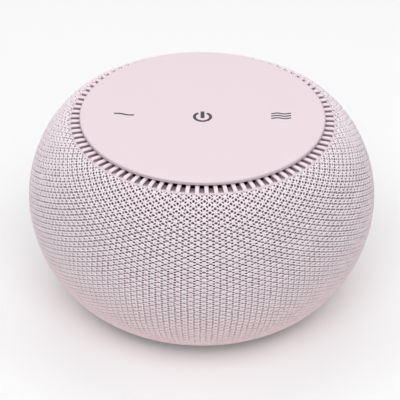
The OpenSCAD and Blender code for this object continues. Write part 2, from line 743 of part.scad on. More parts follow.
module impeller() color("#f2f0ee") {
    rotate_extrude() polygon([
        [cup_r, wheel_z], [wheel_r, wheel_z], [wheel_r, blade_z], [cup_r + wheel_t, blade_z],
        [cup_r + wheel_t, cup_top + wheel_t], [cup_hub_r, cup_top + wheel_t], [cup_hub_r, cup_top],
        [cup_r, cup_top]]);
    translate([0, 0, blade_z + blade_h]) pipe(wheel_r, wheel_r - wheel_ring_w, wheel_t);
    for (k = [0:blade_count - 1]) rotate([0, 0, k * 360 / blade_count])
        translate([0, 0, blade_z - EPS]) linear_extrude(height = blade_h + 2 * EPS)
            polygon(concat(blade_side(-blade_t / 2), flip(blade_side(blade_t / 2))));
}

// ---- touch disc and what carries it ----

module disc_carrier() color("#e3d7d9") difference() {
    union() {
        translate([0, 0, dish_z]) cylinder(r = dish_d / 2, h = edge_under - dish_z);
        around(COLUMNS, dish_post_at) translate([0, 0, lid_top])
            cylinder(r = dish_post_r, h = dish_post_h + EPS);
    }
    translate([0, 0, board_under]) cylinder(r = dish_d / 2 - dish_wall, h = edge_under - board_under + 1);
    translate([0, 0, dish_z - 1]) cylinder(r = dish_hole_r, h = dish_t + 2);
    around(COLUMNS, dish_post_at) translate([0, 0, lid_top - 1])
        cylinder(r = small_screw_r, h = dish_post_h + 0.4);
}

module carrier_screws() color("silver") around(COLUMNS, dish_post_at)
    translate([0, 0, lid_z]) screw(small_screw_r, small_screw_len);

module touch_board() color("#2f6b45") translate([0, 0, board_under])
    cylinder(r = dish_d / 2 - dish_wall, h = touch_board_t);

module touch_electrodes() color("#c58b4c") for (x = [-sign_x, 0, sign_x])
    translate([x, 0, board_under + touch_board_t]) cylinder(r = electrode_r, h = electrode_t);

module touch_chip() color("#1f1f22") translate([-chip_w / 2, -socket_y, board_under - chip_t])
    cube([chip_w, chip_w, chip_t]);

module ribbon_cable() color("#d9d4c8") flat_cable(RIBBON, ribbon_w);

// Side of a sine line, d off its middle. It starts the given part of a turn after the sine does,
// and ends as much before it.
function wave_side(cut, rise, d) = let (turns = 1 - 2 * cut) [for (i = [0:wave_steps]) let (
    u = i / wave_steps, at = 360 * (cut + turns * u),
    slope = rise * 2 * PI * turns / wave_len * cos(at), n = norm([1, slope]))
    [wave_len * (u - 0.5) - d * slope / n, rise * sin(at) + d / n]];

module wave(cut, rise, width)
    polygon(concat(wave_side(cut, rise, -width / 2), flip(wave_side(cut, rise, width / 2))));

module power_sign() {
    wide = 2 * power_r * tan(power_open);
    difference() {
        circle(r = power_r);
        circle(r = power_r - power_w);
        polygon([[0, 0], [-wide, 2 * power_r], [wide, 2 * power_r]]);
    }
    translate([-power_bar_w / 2, -power_bar_low]) square([power_bar_w, power_bar_high + power_bar_low]);
}

module signs() {
    translate([-sign_x, -wave_shift]) wave(lone_cut, lone_rise, lone_w);
    translate([0, -power_shift]) power_sign();
    for (k = [-1, 0, 1]) translate([sign_x, k * wave_pitch - wave_shift]) wave(-wave_more, wave_rise, wave_w);
}

module top_disc() color("#eddce2") difference() {
    rotate_extrude() {
        translate([0, disc_under]) square([dish_d / 2 - dish_wall - 0.2, disc_edge_t]);
        translate([0, edge_under]) square([disc_d / 2, disc_edge_t - disc_round]);
        translate([0, edge_under]) square([disc_d / 2 - disc_round, disc_edge_t]);
        translate([disc_d / 2 - disc_round, body_h - disc_round]) intersection() {
            circle(r = disc_round, $fn = 64);
            square(disc_round);
        }
    }
    translate([0, 0, body_h - sign_t]) linear_extrude(height = sign_t + 1) signs();
}

module touch_symbols() color("#2c262d")
    translate([0, 0, body_h - sign_t]) linear_extrude(height = sign_t) signs();

// ---- twisting cover ----

// Outline of the lower half: outer side down, then the inner side up past the flange to the tongue.
function lower_outline() = let (
    rise = flip(lower_skin(cover_t)), flange_top = flange_z + flange_t, tongue_low = belly_z - tongue_h,
    belly_in = body_d / 2 - cover_t, tip_r = shell_in_r(belly_z + tongue_h) - play)
    concat(lower_skin(fabric_t), [for (p = rise) if (p.y < flange_z - EPS) p],
           [[shell_in_r(flange_z), flange_z], [base_r + turn_gap, flange_z], [base_r + turn_gap, flange_top],
            [shell_in_r(flange_top), flange_top]],
           [for (p = rise) if (p.y > flange_top + EPS && p.y < tongue_low - EPS) p],
           [[shell_in_r(tongue_low), tongue_low], [belly_in - tongue_t, belly_z],
            [tip_r - tongue_t, belly_z + tongue_h], [tip_r, belly_z + tongue_h], [belly_in - play, belly_z]]);

module lower_shell() color("#d9ccd0") difference() {
    rotate_extrude() polygon(lower_outline());
    // notch that the base's stop stands in
    intersection() {
        rotate([0, 0, -90 - twist / 2]) translate([0, 0, flange_z - 1])
            wedge(stop_angle + twist + 2 * stop_play, base_r + 2 * stop_w, flange_t + 2);
        translate([0, 0, flange_z - 1]) cylinder(r = base_r + stop_w + turn_gap, h = flange_t + 2);
    }
    shell_windows(belly_z - shell_window_gap - shell_window_h);
}

module upper_shell() color("#d9ccd0") difference() {
    rotate_extrude() polygon(concat(upper_skin(fabric_t), flip(upper_skin(cover_t))));
    shell_windows(belly_z + shell_window_gap);
}

module fabric_cover() color("#e2d3d7") rotate_extrude()
    polygon(concat(upper_skin(0), lower_skin(0), flip(lower_skin(fabric_t)), flip(upper_skin(fabric_t))));

module hem_ring() color("#cbbabf") {
    back = hem_ring_t * [-cos(hem_slope), -sin(hem_slope)];
    low = inside(LOWER, 1, 0);
    high = inside(LOWER, 1, cover_t);
    rotate_extrude() polygon([low, high, high + back, low + back]);
}

module vent_ring() color("#f4e6ec") {
    low = rim_z - rib_h;
    rib_end = rib_in_r - rib_reach;
    band_out = rib_end + inner_band_w;
    floor_out = [rim_r - lip_t, rim_z - slot_depth];
    floor_in = [rib_end, floor_out.y + slot_rise];
    // the lip at the fabric's edge, the skirt inside the shell, the band under the disc and the slots' floor
    rotate_extrude() polygon([
        [rim_r, rim_z], seat, [seat.x, low], [seat.x - ring_t, low], [seat.x - ring_t, floor_out.y - ring_t],
        [band_out, floor_in.y - ring_t], [band_out, low], [rib_end, low], floor_in, floor_out,
        [rim_r - lip_t, rim_z]]);
    for (k = [0:rib_count - 1]) rotate([90, 0, (k + 0.5) * 360 / rib_count - 90])
        translate([0, 0, -rib_t / 2]) linear_extrude(height = rib_t) polygon([
            [rib_end, low], [rib_end, rib_top_z], [rim_r - rib_fall, rib_top_z], [rim_r - lip_t / 2, rim_z],
            [seat.x - ring_t / 2, seat.y], [seat.x - ring_t / 2, low]]);
}

base_pan();
rubber_feet();
base_screws();
glide_ring();
dc_jack();
jack_pin();
main_board();
bulk_capacitors();
power_inductor();
driver_chip();
board_sockets();
deck_plate();
drum_wall();
drum_lid();
drum_screws();
lid_screws();
motor_isolators();
motor_plate();
motor_screws();
bearing_tube();
lower_bushing();
upper_bushing();
stator_core();
stator_coils();
motor_board();
motor_lead();
shaft();
shaft_clip();
rotor_cup();
magnet_ring();
impeller();
disc_carrier();
carrier_screws();
touch_board();
touch_electrodes();
touch_chip();
ribbon_cable();
top_disc();
touch_symbols();
lower_shell();
upper_shell();
hem_ring();
vent_ring();
fabric_cover();
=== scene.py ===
"""Looks of the white noise sound machine: knitted cover, air ring, touch disc and everything inside.

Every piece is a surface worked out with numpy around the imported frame. Lengths are metres; the constant MM
turns millimetres into them. The object stands on z = 0 with its front at -Y, and turns about the Z axis.
"""

import json
import math
from collections import namedtuple

import bpy
import numpy as np
from bpy.props import FloatProperty, FloatVectorProperty, IntProperty, PointerProperty
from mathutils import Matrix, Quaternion, Vector


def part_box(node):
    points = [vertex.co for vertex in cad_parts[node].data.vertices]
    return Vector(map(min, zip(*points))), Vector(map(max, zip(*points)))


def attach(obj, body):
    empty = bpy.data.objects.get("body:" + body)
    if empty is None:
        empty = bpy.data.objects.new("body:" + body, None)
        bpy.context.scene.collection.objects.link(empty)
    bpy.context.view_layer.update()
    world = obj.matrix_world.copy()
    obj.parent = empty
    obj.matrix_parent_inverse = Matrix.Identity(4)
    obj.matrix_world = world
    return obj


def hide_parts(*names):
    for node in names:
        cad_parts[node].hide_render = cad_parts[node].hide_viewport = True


bl_info = {
    "name": "Noise Machine Looks",
    "version": (1, 0, 0),
    "blender": (4, 5, 0),
    "location": "3D View > Sidebar > Noise Machine",
    "description": "Builds the knitted cover, the air ring, the inner pieces and the finishes",
    "category": "Object",
}

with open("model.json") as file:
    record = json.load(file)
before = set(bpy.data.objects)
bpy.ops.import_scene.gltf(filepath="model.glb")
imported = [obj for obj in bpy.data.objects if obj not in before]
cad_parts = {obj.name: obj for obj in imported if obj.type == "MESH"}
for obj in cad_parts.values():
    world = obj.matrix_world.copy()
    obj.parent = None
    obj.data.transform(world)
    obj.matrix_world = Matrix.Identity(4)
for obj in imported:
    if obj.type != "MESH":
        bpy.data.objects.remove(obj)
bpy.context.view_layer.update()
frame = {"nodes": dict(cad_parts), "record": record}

MM = 0.001
TURN = 2 * math.pi

# ---- sizes that the frame gives ----

cover_low, cover_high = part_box("fabric_cover")
ring_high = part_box("vent_ring")[1]
BELLY_R = cover_high[0]
HEM_Z = cover_low[2]
RIM_Z = cover_high[2]
HEM_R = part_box("hem_ring")[1][0]
RIM_R = ring_high[0]
RIB_TOP_Z = ring_high[2]
DISC_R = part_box("top_disc")[1][0]
DISC_TOP_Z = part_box("top_disc")[1][2]

# ---- the side's outline, which the frame's cover follows ----

BELLY_Z = 44.2 * MM
RIM_SLOPE = math.radians(10)
RIM_PULL = 5.5 * MM
SHOULDER_PULL = 19 * MM
SIDE_PULL = 15.1 * MM
HEM_SLOPE = math.radians(33.2)
HEM_PULL = 14.8 * MM
UPPER_SIDE = np.array([
    (RIM_R, RIM_Z),
    (RIM_R + RIM_PULL * math.cos(RIM_SLOPE), RIM_Z - RIM_PULL * math.sin(RIM_SLOPE)),
    (BELLY_R, BELLY_Z + SHOULDER_PULL),
    (BELLY_R, BELLY_Z),
])
LOWER_SIDE = np.array([
    (BELLY_R, BELLY_Z),
    (BELLY_R, BELLY_Z - SIDE_PULL),
    (HEM_R + HEM_PULL * math.cos(HEM_SLOPE), HEM_Z + HEM_PULL * math.sin(HEM_SLOPE)),
    (HEM_R, HEM_Z),
])
FABRIC_T = 1.5 * MM
DEEPEST = FABRIC_T - 0.1 * MM  # how far the knit may sink below the cover's outer face

# ---- the air ring ----

RIB_IN_R = DISC_R + 0.5 * MM
RIB_END_R = RIB_IN_R - 1.6 * MM
RIB_FALL = 1.5 * MM
RING_LOW = RIM_Z - 4.2 * MM
RING_T = 1.3 * MM
LIP_T = 0.3 * MM
SLOT_DEPTH = 1.0 * MM
SLOT_RISE = 0.3 * MM
INNER_BAND_W = 1.0 * MM
SEAT = UPPER_SIDE[0] - 3.5 * MM * np.array([math.sin(RIM_SLOPE), math.cos(RIM_SLOPE)])
RING_SEGMENTS = 528

SCREW_HEAD_H = 1.2  # height of a screw's head, as a part of the shank's radius

# ---- the knit's mesh: where its points lie, as parts of a column and of a row ----

COLUMN_STEPS = np.array([0, 0.13, 0.37, 0.5, 0.63, 0.87])
ROW_STEPS = np.array([0, 0.28, 0.5, 0.72])
SECTORS = ("front", "right", "back", "left")
SEAM_ANGLE = -TURN * 3 / 8  # where the first sector, the front one, starts


# ---- settings ----


class KnitSettings(bpy.types.PropertyGroup):
    """Stitches and colours of the knitted cover."""

    columns: IntProperty(
        name="Columns", description="Stitch columns round the cover, four times a whole number",
        default=172, min=60, max=300)
    row_top: FloatProperty(
        name="Top row", description="Height of a stitch row at the upper edge",
        default=1.72 * MM, subtype="DISTANCE")
    row_low: FloatProperty(
        name="Low row", description="Height of a stitch row near the hem",
        default=1.09 * MM, subtype="DISTANCE")
    row_fade: FloatProperty(
        name="Row fade", description="Length over which the rows grow closer",
        default=15 * MM, subtype="DISTANCE")
    relief: FloatProperty(
        name="Relief", description="Depth of the deepest holes in the knit",
        default=0.8 * MM, subtype="DISTANCE")
    stray: FloatProperty(
        name="Stray", description="How far a stitch strays from its place, as part of a column",
        default=0.07, min=0)
    yarn: FloatVectorProperty(
        name="Yarn", description="Colour of the yarn", default=(0.99, 0.828, 0.878), subtype="COLOR")
    # Shade and hollow are colours of painted shade: between the stitches, and deep in the holes.
    shade: FloatVectorProperty(
        name="Shade", description="Colour between the stitches",
        default=(0.40, 0.25, 0.28), subtype="COLOR")
    hollow: FloatVectorProperty(
        name="Hollow", description="Colour deep in the holes",
        default=(0.066, 0.032, 0.040), subtype="COLOR")


class RingSettings(bpy.types.PropertyGroup):
    """Ribs of the air ring round the disc."""

    ribs: IntProperty(name="Ribs", description="Number of ribs", default=88, min=40, max=120)
    rib_width: FloatProperty(
        name="Rib width", description="Width of each rib", default=1.7 * MM, subtype="DISTANCE")
    rib_round: FloatProperty(
        name="Rib rounding", description="Radius of each rib's top edges",
        default=0.35 * MM, subtype="DISTANCE")
    plastic: FloatVectorProperty(
        name="Plastic", description="Colour of the ring", default=(0.90, 0.785, 0.835), subtype="COLOR")


class FinishSettings(bpy.types.PropertyGroup):
    """Colours of the plain mouldings."""

    disc: FloatVectorProperty(
        name="Disc", description="Colour of the touch disc", default=(0.822, 0.697, 0.74), subtype="COLOR")
    sign: FloatVectorProperty(
        name="Signs", description="Colour of the printed signs",
        default=(0.05, 0.042, 0.05), subtype="COLOR")
    base: FloatVectorProperty(
        name="Base", description="Colour of the base and the hem",
        default=(0.66, 0.55, 0.58), subtype="COLOR")
    inner: FloatVectorProperty(
        name="Inner parts", description="Colour of the shell and the drum",
        default=(0.74, 0.69, 0.69), subtype="COLOR")


class StageSettings(bpy.types.PropertyGroup):
    """Floor, lights and camera."""

    floor: FloatVectorProperty(
        name="Floor", description="Colour of the floor", default=(0.84, 0.84, 0.84), subtype="COLOR")
    floor_glow: FloatProperty(
        name="Floor glow", description="Light that the floor gives by itself", default=0.125, min=0)
    sky: FloatProperty(name="Sky", description="Strength of the light from all round", default=0.21, min=0)
    key: FloatProperty(
        name="Key", description="Power of the lamp above the front", default=13.6, min=0, unit="POWER")
    back: FloatProperty(
        name="Back", description="Power of the lamp above the back", default=6.5, min=0, unit="POWER")
    left: FloatProperty(
        name="Left", description="Power of the lamp at the left side", default=4.9, min=0, unit="POWER")
    right: FloatProperty(
        name="Right", description="Power of the lamp at the right side", default=4.4, min=0, unit="POWER")
    distance: FloatProperty(
        name="Distance", description="From the camera to the object", default=1.275, subtype="DISTANCE")
    elevation: FloatProperty(
        name="Elevation", description="Height of the camera as an angle",
        default=math.radians(33.44), subtype="ANGLE")
    roll: FloatProperty(
        name="Roll", description="Turn of the camera about its own line of sight",
        default=math.radians(0.62), subtype="ANGLE")
    lens: FloatProperty(
        name="Lens", description="Focal length in millimetres on a 36 mm frame", default=278.3, min=20)


SETTINGS = {"knit": KnitSettings, "ring": RingSettings, "finishes": FinishSettings, "stage": StageSettings}


def setting(group):
    """The scene's settings of one group."""
    return getattr(bpy.context.scene, "noise_machine_" + group)


# ---- sums that run on numpy arrays and as shader nodes alike ----

NUMPY_STEPS = {"ABSOLUTE": np.abs, "ROUND": np.round, "MINIMUM": np.minimum, "MAXIMUM": np.maximum}


class Wire:
    """A number that a shader works out at each point. Sums of wires become Math nodes."""

    def __init__(self, tree, socket):
        self.tree = tree
        self.socket = socket

    def __add__(self, other):
        return step("ADD", self, other)

    def __sub__(self, other):
        return step("SUBTRACT", self, other)

    def __rsub__(self, other):
        return step("SUBTRACT", other, self)

    def __mul__(self, other):
        return step("MULTIPLY", self, other)

    def __truediv__(self, other):
        return step("DIVIDE", self, other)

    __radd__ = __add__
    __rmul__ = __mul__


def step(name, *values):
    """One step of a sum: a Math node where a value is a wire, and numpy otherwise."""
    wires = [v for v in values if isinstance(v, Wire)]
    if not wires:
        return NUMPY_STEPS[name](*values)
    tree = wires[0].tree
    node = tree.nodes.new("ShaderNodeMath")
    node.operation = name
    for socket, value in zip(node.inputs, values):
        if isinstance(value, Wire):
            tree.links.new(value.socket, socket)
        else:
            socket.default_value = value
    return Wire(tree, node.outputs[0])


def ramp(x, start, end):
    """0 at start and 1 at end, with a smooth run between: with t from 0 to 1, t squared times (3 - 2 t)."""
    t = step("MINIMUM", step("MAXIMUM", (x - start) / (end - start), 0.0), 1.0)
    return t * t * (3.0 - 2.0 * t)


def spot(x, y, soft=0.8):
    """1 inside the unit circle and 0 outside, fading over the given part of the squared radius."""
    return inside(x * x + y * y, soft)


def inside(squared, soft=0.8):
    """The same from the squared radius itself."""
    return ramp(squared, 1.0 + soft / 2, 1.0 - soft / 2)


def halo(squared):
    """A soft band just outside the unit circle, from the squared radius."""
    return ramp(squared, 1.1, 2.2) * ramp(squared, 6.0, 2.6)


def from_middle(x):
    """Distance of x from the nearest whole number."""
    return step("ABSOLUTE", x - step("ROUND", x))


# ---- meshes ----


def add_mesh(name, points, faces, smooth_below=None):
    """A mesh object from points and a list of face arrays, each array with its own number of corners."""
    mesh = bpy.data.meshes.new(name)
    corners = np.concatenate([f.ravel() for f in faces]).astype(np.int32)
    sizes = np.concatenate([np.full(len(f), f.shape[1]) for f in faces])
    starts = np.concatenate([[0], np.cumsum(sizes)[:-1]]).astype(np.int32)
    mesh.vertices.add(len(points))
    mesh.vertices.foreach_set("co", np.asarray(points, np.float32).ravel())
    mesh.loops.add(len(corners))
    mesh.loops.foreach_set("vertex_index", corners)
    mesh.polygons.add(len(sizes))
    mesh.polygons.foreach_set("loop_start", starts)
    mesh.update(calc_edges=True)
    mesh.validate()
    mesh.shade_smooth()
    if smooth_below is not None:
        mesh.set_sharp_from_angle(angle=math.radians(smooth_below))
    piece = bpy.data.objects.new(name, mesh)
    bpy.context.scene.collection.objects.link(piece)
    return piece


def grid_faces(rows, columns, wrap=False):
    """Four-sided faces of a grid of points, row by row. With wrap, the last column joins the first."""
    at = np.arange(rows * columns).reshape(rows, columns)
    if wrap:
        at = np.hstack([at, at[:, :1]])
    return np.stack([at[:-1, :-1], at[1:, :-1], at[1:, 1:], at[:-1, 1:]], -1).reshape(-1, 4)


def turned(radius, height, angle):
    """Points at a radius and height, turned about Z: (r cos a, r sin a, z)."""
    radius, height, angle = np.broadcast_arrays(radius, height, angle)
    return np.stack([radius * np.cos(angle), radius * np.sin(angle), height], -1)


def lathe(outline, segments):
    """Points and faces of a closed outline of (radius, height) turned about Z.
    The outline runs so that its outer side goes down.
    """
    angle = np.arange(segments) * TURN / segments
    closed = np.vstack([outline, outline[:1]])
    points = turned(outline[:, :1], outline[:, 1:], angle).reshape(-1, 3)
    faces = grid_faces(len(closed), segments, wrap=True) % len(points)
    return points, faces


def stacked(rings, clockwise=False):
    """Points and faces of closed solids, each a stack of rings of points: [solid, ring, place, xyz].
    A flat face closes each end. Looking along a stack, its rings run anticlockwise, or clockwise where
    that is said.
    """
    count, height, around = rings.shape[:3]
    side = grid_faces(height, around, wrap=True)
    ends = np.stack([np.arange(around), height * around - 1 - np.arange(around)])
    if clockwise:
        side, ends = side[:, ::-1], ends[:, ::-1]
    first = np.arange(count)[:, None, None] * height * around
    return rings.reshape(-1, 3), [(side + first).reshape(-1, 4), (ends + first).reshape(-1, around)]


def bezier(ends, t):
    """Points of a cubic curve: (1-t)^3 P0 + 3 (1-t)^2 t P1 + 3 (1-t) t^2 P2 + t^3 P3."""
    t = t[:, None]
    u = 1 - t
    return u ** 3 * ends[0] + 3 * u ** 2 * t * ends[1] + 3 * u * t ** 2 * ends[2] + t ** 3 * ends[3]


def side_outline(samples=1500):
    """The side from the upper edge to the hem: points, outward normals and length along it."""
    t = np.linspace(0, 1, samples)
    points = np.vstack([bezier(UPPER_SIDE, t), bezier(LOWER_SIDE, t)[1:]])
    way = np.gradient(points, axis=0)
    way /= np.linalg.norm(way, axis=1, keepdims=True)
    normals = np.stack([-way[:, 1], way[:, 0]], -1)
    length = np.concatenate([[0], np.cumsum(np.linalg.norm(np.diff(points, axis=0), axis=1))])
    return points, normals, length


# ---- materials ----


class Finish:
    """A node material under construction: a Principled shader and short names for the nodes that feed it."""

    def __init__(self, name, colour, **sockets):
        self.material = bpy.data.materials.new(name)
        self.material.use_nodes = True
        self.tree = self.material.node_tree
        self.shader = self.tree.nodes["Principled BSDF"]
        self.material.diffuse_color = (*colour, 1)
        self.shader.inputs["Base Color"].default_value = (*colour, 1)
        for socket, value in sockets.items():
            self.shader.inputs[socket.replace("_", " ")].default_value = value

    def node(self, kind, **inputs):
        """A new node with its number inputs set or wired."""
        made = self.tree.nodes.new(kind)
        for name, value in inputs.items():
            self.feed(made.inputs[name.replace("_", " ")], value)
        return made

    def feed(self, socket, value):
        """Wires a value into a socket, or sets it there."""
        if isinstance(value, Wire):
            value = value.socket
        if isinstance(value, bpy.types.NodeSocket):
            self.tree.links.new(value, socket)
        else:
            socket.default_value = value

    def place(self):
        """The point's own coordinates, which are the frame's, as a vector socket."""
        return self.node("ShaderNodeTexCoord").outputs["Object"]

    def xyz(self, vector=None):
        """The three coordinates as wires."""
        parts = self.node("ShaderNodeSeparateXYZ", Vector=vector or self.place())
        return [Wire(self.tree, s) for s in parts.outputs]

    def vector(self, x, y, z):
        """Three numbers as one vector."""
        return self.node("ShaderNodeCombineXYZ", X=x, Y=y, Z=z).outputs[0]

    def noise(self, scale, detail=2.0, vector=None):
        """Cloudy noise from 0 to 1, about the given number of blobs to a metre."""
        made = self.node("ShaderNodeTexNoise", Vector=vector or self.place(), Scale=scale, Detail=detail)
        return Wire(self.tree, made.outputs["Fac"])

    def chance(self, vector):
        """One random number for each whole place of the vector."""
        return Wire(self.tree, self.node("ShaderNodeTexWhiteNoise", Vector=vector).outputs["Value"])

    def mixed(self, share, first, second):
        """A colour between two: all first where share is 0, and all second where it is 1."""
        made = self.tree.nodes.new("ShaderNodeMix")
        made.data_type = "RGBA"
        self.feed(made.inputs[0], share)
        for socket, colour in ((made.inputs[6], first), (made.inputs[7], second)):
            self.feed(socket, colour if isinstance(colour, bpy.types.NodeSocket) else (*colour, 1))
        return made.outputs[2]

    def paint(self, colour):
        """Wires a colour into the shader."""
        self.feed(self.shader.inputs["Base Color"], colour)

    def set(self, socket, value):
        """Wires or sets any other input of the shader."""
        self.feed(self.shader.inputs[socket], value)

    def bump(self, height, distance):
        """Bends the normal by a height from 0 to 1, over the given distance in metres."""
        made = self.node("ShaderNodeBump", Height=height, Distance=distance)
        self.feed(self.shader.inputs["Normal"], made.outputs[0])


def tinted(colour, *factors):
    """A colour made lighter or darker: by one factor, or by one each for red, green and blue."""
    return tuple(min(1.0, c * f) for c, f in zip(colour, factors if len(factors) == 3 else factors * 3))


def moulded(name, colour, roughness, grain=0.012, grain_scale=2600, mottle=0.03):
    """Injection-moulded plastic: a fine spark-eroded grain, and faint cloudy unevenness in tone and gloss."""
    finish = Finish(name, colour, IOR=1.46)
    cloud = finish.noise(45, 3)
    finish.paint(finish.mixed(cloud, tinted(colour, 1 - mottle), tinted(colour, 1 + mottle)))
    finish.set("Roughness", roughness + 0.10 * (finish.noise(220, 3) - 0.5))
    finish.bump(finish.noise(grain_scale, 2), grain * MM)
    return finish.material


def ribbed(name, colour, tone=0.36):
    """Plastic of the air ring: as other mouldings, with painted shade in the slots, a deeper and redder tone
    where the slots lie in shade. The painted shade lies on the ribs' flanks and on the inner part of the
    floor, and the ribs' backs have none.
    """
    finish = Finish(name, colour, IOR=1.46)
    x, y, z = finish.xyz()
    radius = step("SQRT", x * x + y * y)
    # painted shade: darker below the ribs' backs, on their flanks above the floor and inside the lip, and on
    # the floor's inner part towards the disc
    below_back = ramp(z, RIB_TOP_Z - 0.25 * MM, RIB_TOP_Z - 0.7 * MM)
    above_floor = ramp(z, RIM_Z - SLOT_DEPTH, RIM_Z - 0.4 * MM)
    inside_lip = ramp(radius, RIM_R - LIP_T, RIM_R - 0.7 * MM)
    painted_floor_shade = ramp(radius, RIB_END_R + 4.9 * MM, RIB_END_R + 1.6 * MM)
    painted_flank_shade = below_back * above_floor * inside_lip
    # the mask of the painted shade in the slots
    deep = below_back * step("MAXIMUM", painted_flank_shade, painted_floor_shade)
    finish.paint(finish.mixed(deep, colour, tinted(colour, tone, 0.78 * tone, 0.86 * tone)))
    finish.set("Roughness", 0.42 + 0.10 * (finish.noise(220, 3) - 0.5))
    finish.bump(finish.noise(2600, 2), 0.012 * MM)
    return finish.material


def edged(name, colour, tone=0.76):
    """Plastic of the touch disc: very fine satin, and painted shade on its side, a slightly deeper tone below
    its round edge.
    """
    finish = Finish(name, colour, IOR=1.46)
    # painted shade: the disc's side is darker below its top
    side = ramp(finish.xyz()[2], DISC_TOP_Z - 0.2 * MM, DISC_TOP_Z - 0.75 * MM)
    cloud = finish.mixed(finish.noise(45, 3), tinted(colour, 0.992), tinted(colour, 1.008))
    finish.paint(finish.mixed(side, cloud, tinted(colour, tone)))
    finish.set("Roughness", 0.46 + 0.10 * (finish.noise(220, 3) - 0.5))
    finish.bump(finish.noise(3400, 2), 0.006 * MM)
    return finish.material


def rubber(name, colour):
    """Soft rubber: dull, slightly dusty on top of a coarse fine-pitted skin."""
    finish = Finish(name, colour, IOR=1.5, Sheen_Weight=0.2, Sheen_Roughness=0.6)
    dust = ramp(finish.noise(300, 4), 0.45, 0.8)
    finish.paint(finish.mixed(dust, colour, tinted(colour, 1.5)))
    finish.set("Roughness", 0.72 + 0.15 * (finish.noise(900, 2) - 0.5))
    finish.bump(finish.noise(1800, 3), 0.03 * MM)
    return finish.material


def turned_metal(name, colour, roughness, line_pitch=0.12 * MM):
    """Turned or ground metal: fine tool rings about Z, broken up by noise, and a cloudy tarnish."""
    finish = Finish(name, colour, Metallic=1.0)
    x, y, z = finish.xyz()
    radius = step("SQRT", x * x + y * y)
    rings = step("SINE", (radius + z) * (TURN / line_pitch)) * 0.5 + 0.5
    tarnish = ramp(finish.noise(160, 4), 0.4, 0.75)
    finish.paint(finish.mixed(tarnish, colour, tinted(colour, 0.78)))
    finish.set("Roughness", roughness + 0.12 * tarnish + 0.06 * (finish.noise(2500, 2) - 0.5))
    finish.bump(rings * finish.noise(700, 2), 0.006 * MM)
    return finish.material


def plated_steel(name, colour, roughness):
    """Zinc-plated pressed steel: faint crystals of two tones and a soft orange-peel skin."""
    finish = Finish(name, colour, Metallic=1.0)
    crystals = finish.node("ShaderNodeTexVoronoi", Vector=finish.place(), Scale=700.0)
    tone = Wire(finish.tree, crystals.outputs["Distance"])
    finish.paint(finish.mixed(ramp(tone, 0.1, 0.7), tinted(colour, 0.86), tinted(colour, 1.08)))
    finish.set("Roughness", roughness + 0.14 * (finish.noise(500, 3) - 0.5))
    finish.bump(finish.noise(1500, 2), 0.008 * MM)
    return finish.material


def laminated(name, colour, sheet=0.5 * MM):
    """Stacked steel sheets: thin dark gaps between the sheets, across Z, with a brown oil film."""
    finish = Finish(name, colour, Metallic=0.85)
    height = finish.xyz()[2] - float(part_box("stator_core")[0][2])
    gap = ramp(from_middle(height / sheet + 0.5), 0.16, 0.02)
    film = finish.mixed(finish.noise(120, 3), colour, (0.21, 0.17, 0.14))
    finish.paint(finish.mixed(gap, film, (0.03, 0.025, 0.02)))
    finish.set("Roughness", 0.38 + 0.3 * gap)
    finish.bump(1.0 - gap, 0.05 * MM)
    return finish.material


def ferrite(name, colour):
    """Pressed ferrite: dark, dull and speckled with tiny bright grains."""
    finish = Finish(name, colour, Metallic=0.2)
    grains = ramp(finish.noise(4200, 1), 0.62, 0.75)
    finish.paint(finish.mixed(grains, colour, tinted(colour, 3.0)))
    finish.set("Roughness", 0.55 + 0.2 * (finish.noise(700, 2) - 0.5))
    finish.bump(finish.noise(1600, 3), 0.02 * MM)
    return finish.material


def wound_wire(name, colour, wire=0.45 * MM):
    """Enamelled copper wire: turns that lie side by side, as a row of round ridges up Z, with painted shade
    in the grooves between them.
    """
    finish = Finish(name, colour, Metallic=0.9, Coat_Weight=0.6, Coat_Roughness=0.12)
    across = from_middle(finish.xyz()[2] / wire) * 2.0
    ridge = step("SQRT", step("MAXIMUM", 1.0 - across * across, 0.0))
    # painted shade: the colour falls to a quarter in the grooves between the turns
    finish.paint(finish.mixed(ridge, tinted(colour, 0.25), colour))
    finish.set("Roughness", 0.30 + 0.15 * (finish.noise(900, 2) - 0.5))
    finish.bump(ridge, 0.12 * MM)
    return finish.material


def circuit_board(name, colour, cell=1.27 * MM):
    """A printed board: glossy solder mask over copper tracks that stop and start, and tinned pads."""
    finish = Finish(name, colour, Coat_Weight=0.5, Coat_Roughness=0.15)
    x, y = finish.xyz()[:2]
    row = step("FLOOR", y / (cell * 3))
    shift = 4.0 * finish.chance(finish.vector(0.0, row, 0.0))
    lane = finish.chance(finish.vector(step("FLOOR", x / cell + shift), row, 0.0))
    track = ramp(from_middle(x / cell), 0.34, 0.26) * ramp(lane, 0.45, 0.55)
    pad_x, pad_y = x / (cell * 2), y / (cell * 2)
    chosen = finish.chance(finish.vector(step("ROUND", pad_x), step("ROUND", pad_y), 3.0))
    pads = spot(from_middle(pad_x) / 0.2, from_middle(pad_y) / 0.2) * ramp(chosen, 0.72, 0.74)
    green = finish.mixed(track, colour, tinted(colour, 1.9))
    finish.paint(finish.mixed(pads, green, (0.62, 0.60, 0.52)))
    finish.set("Roughness", 0.34 + 0.1 * finish.noise(800, 2))
    finish.set("Metallic", pads * 0.8)
    finish.bump(step("MAXIMUM", track, pads), 0.035 * MM)
    return finish.material


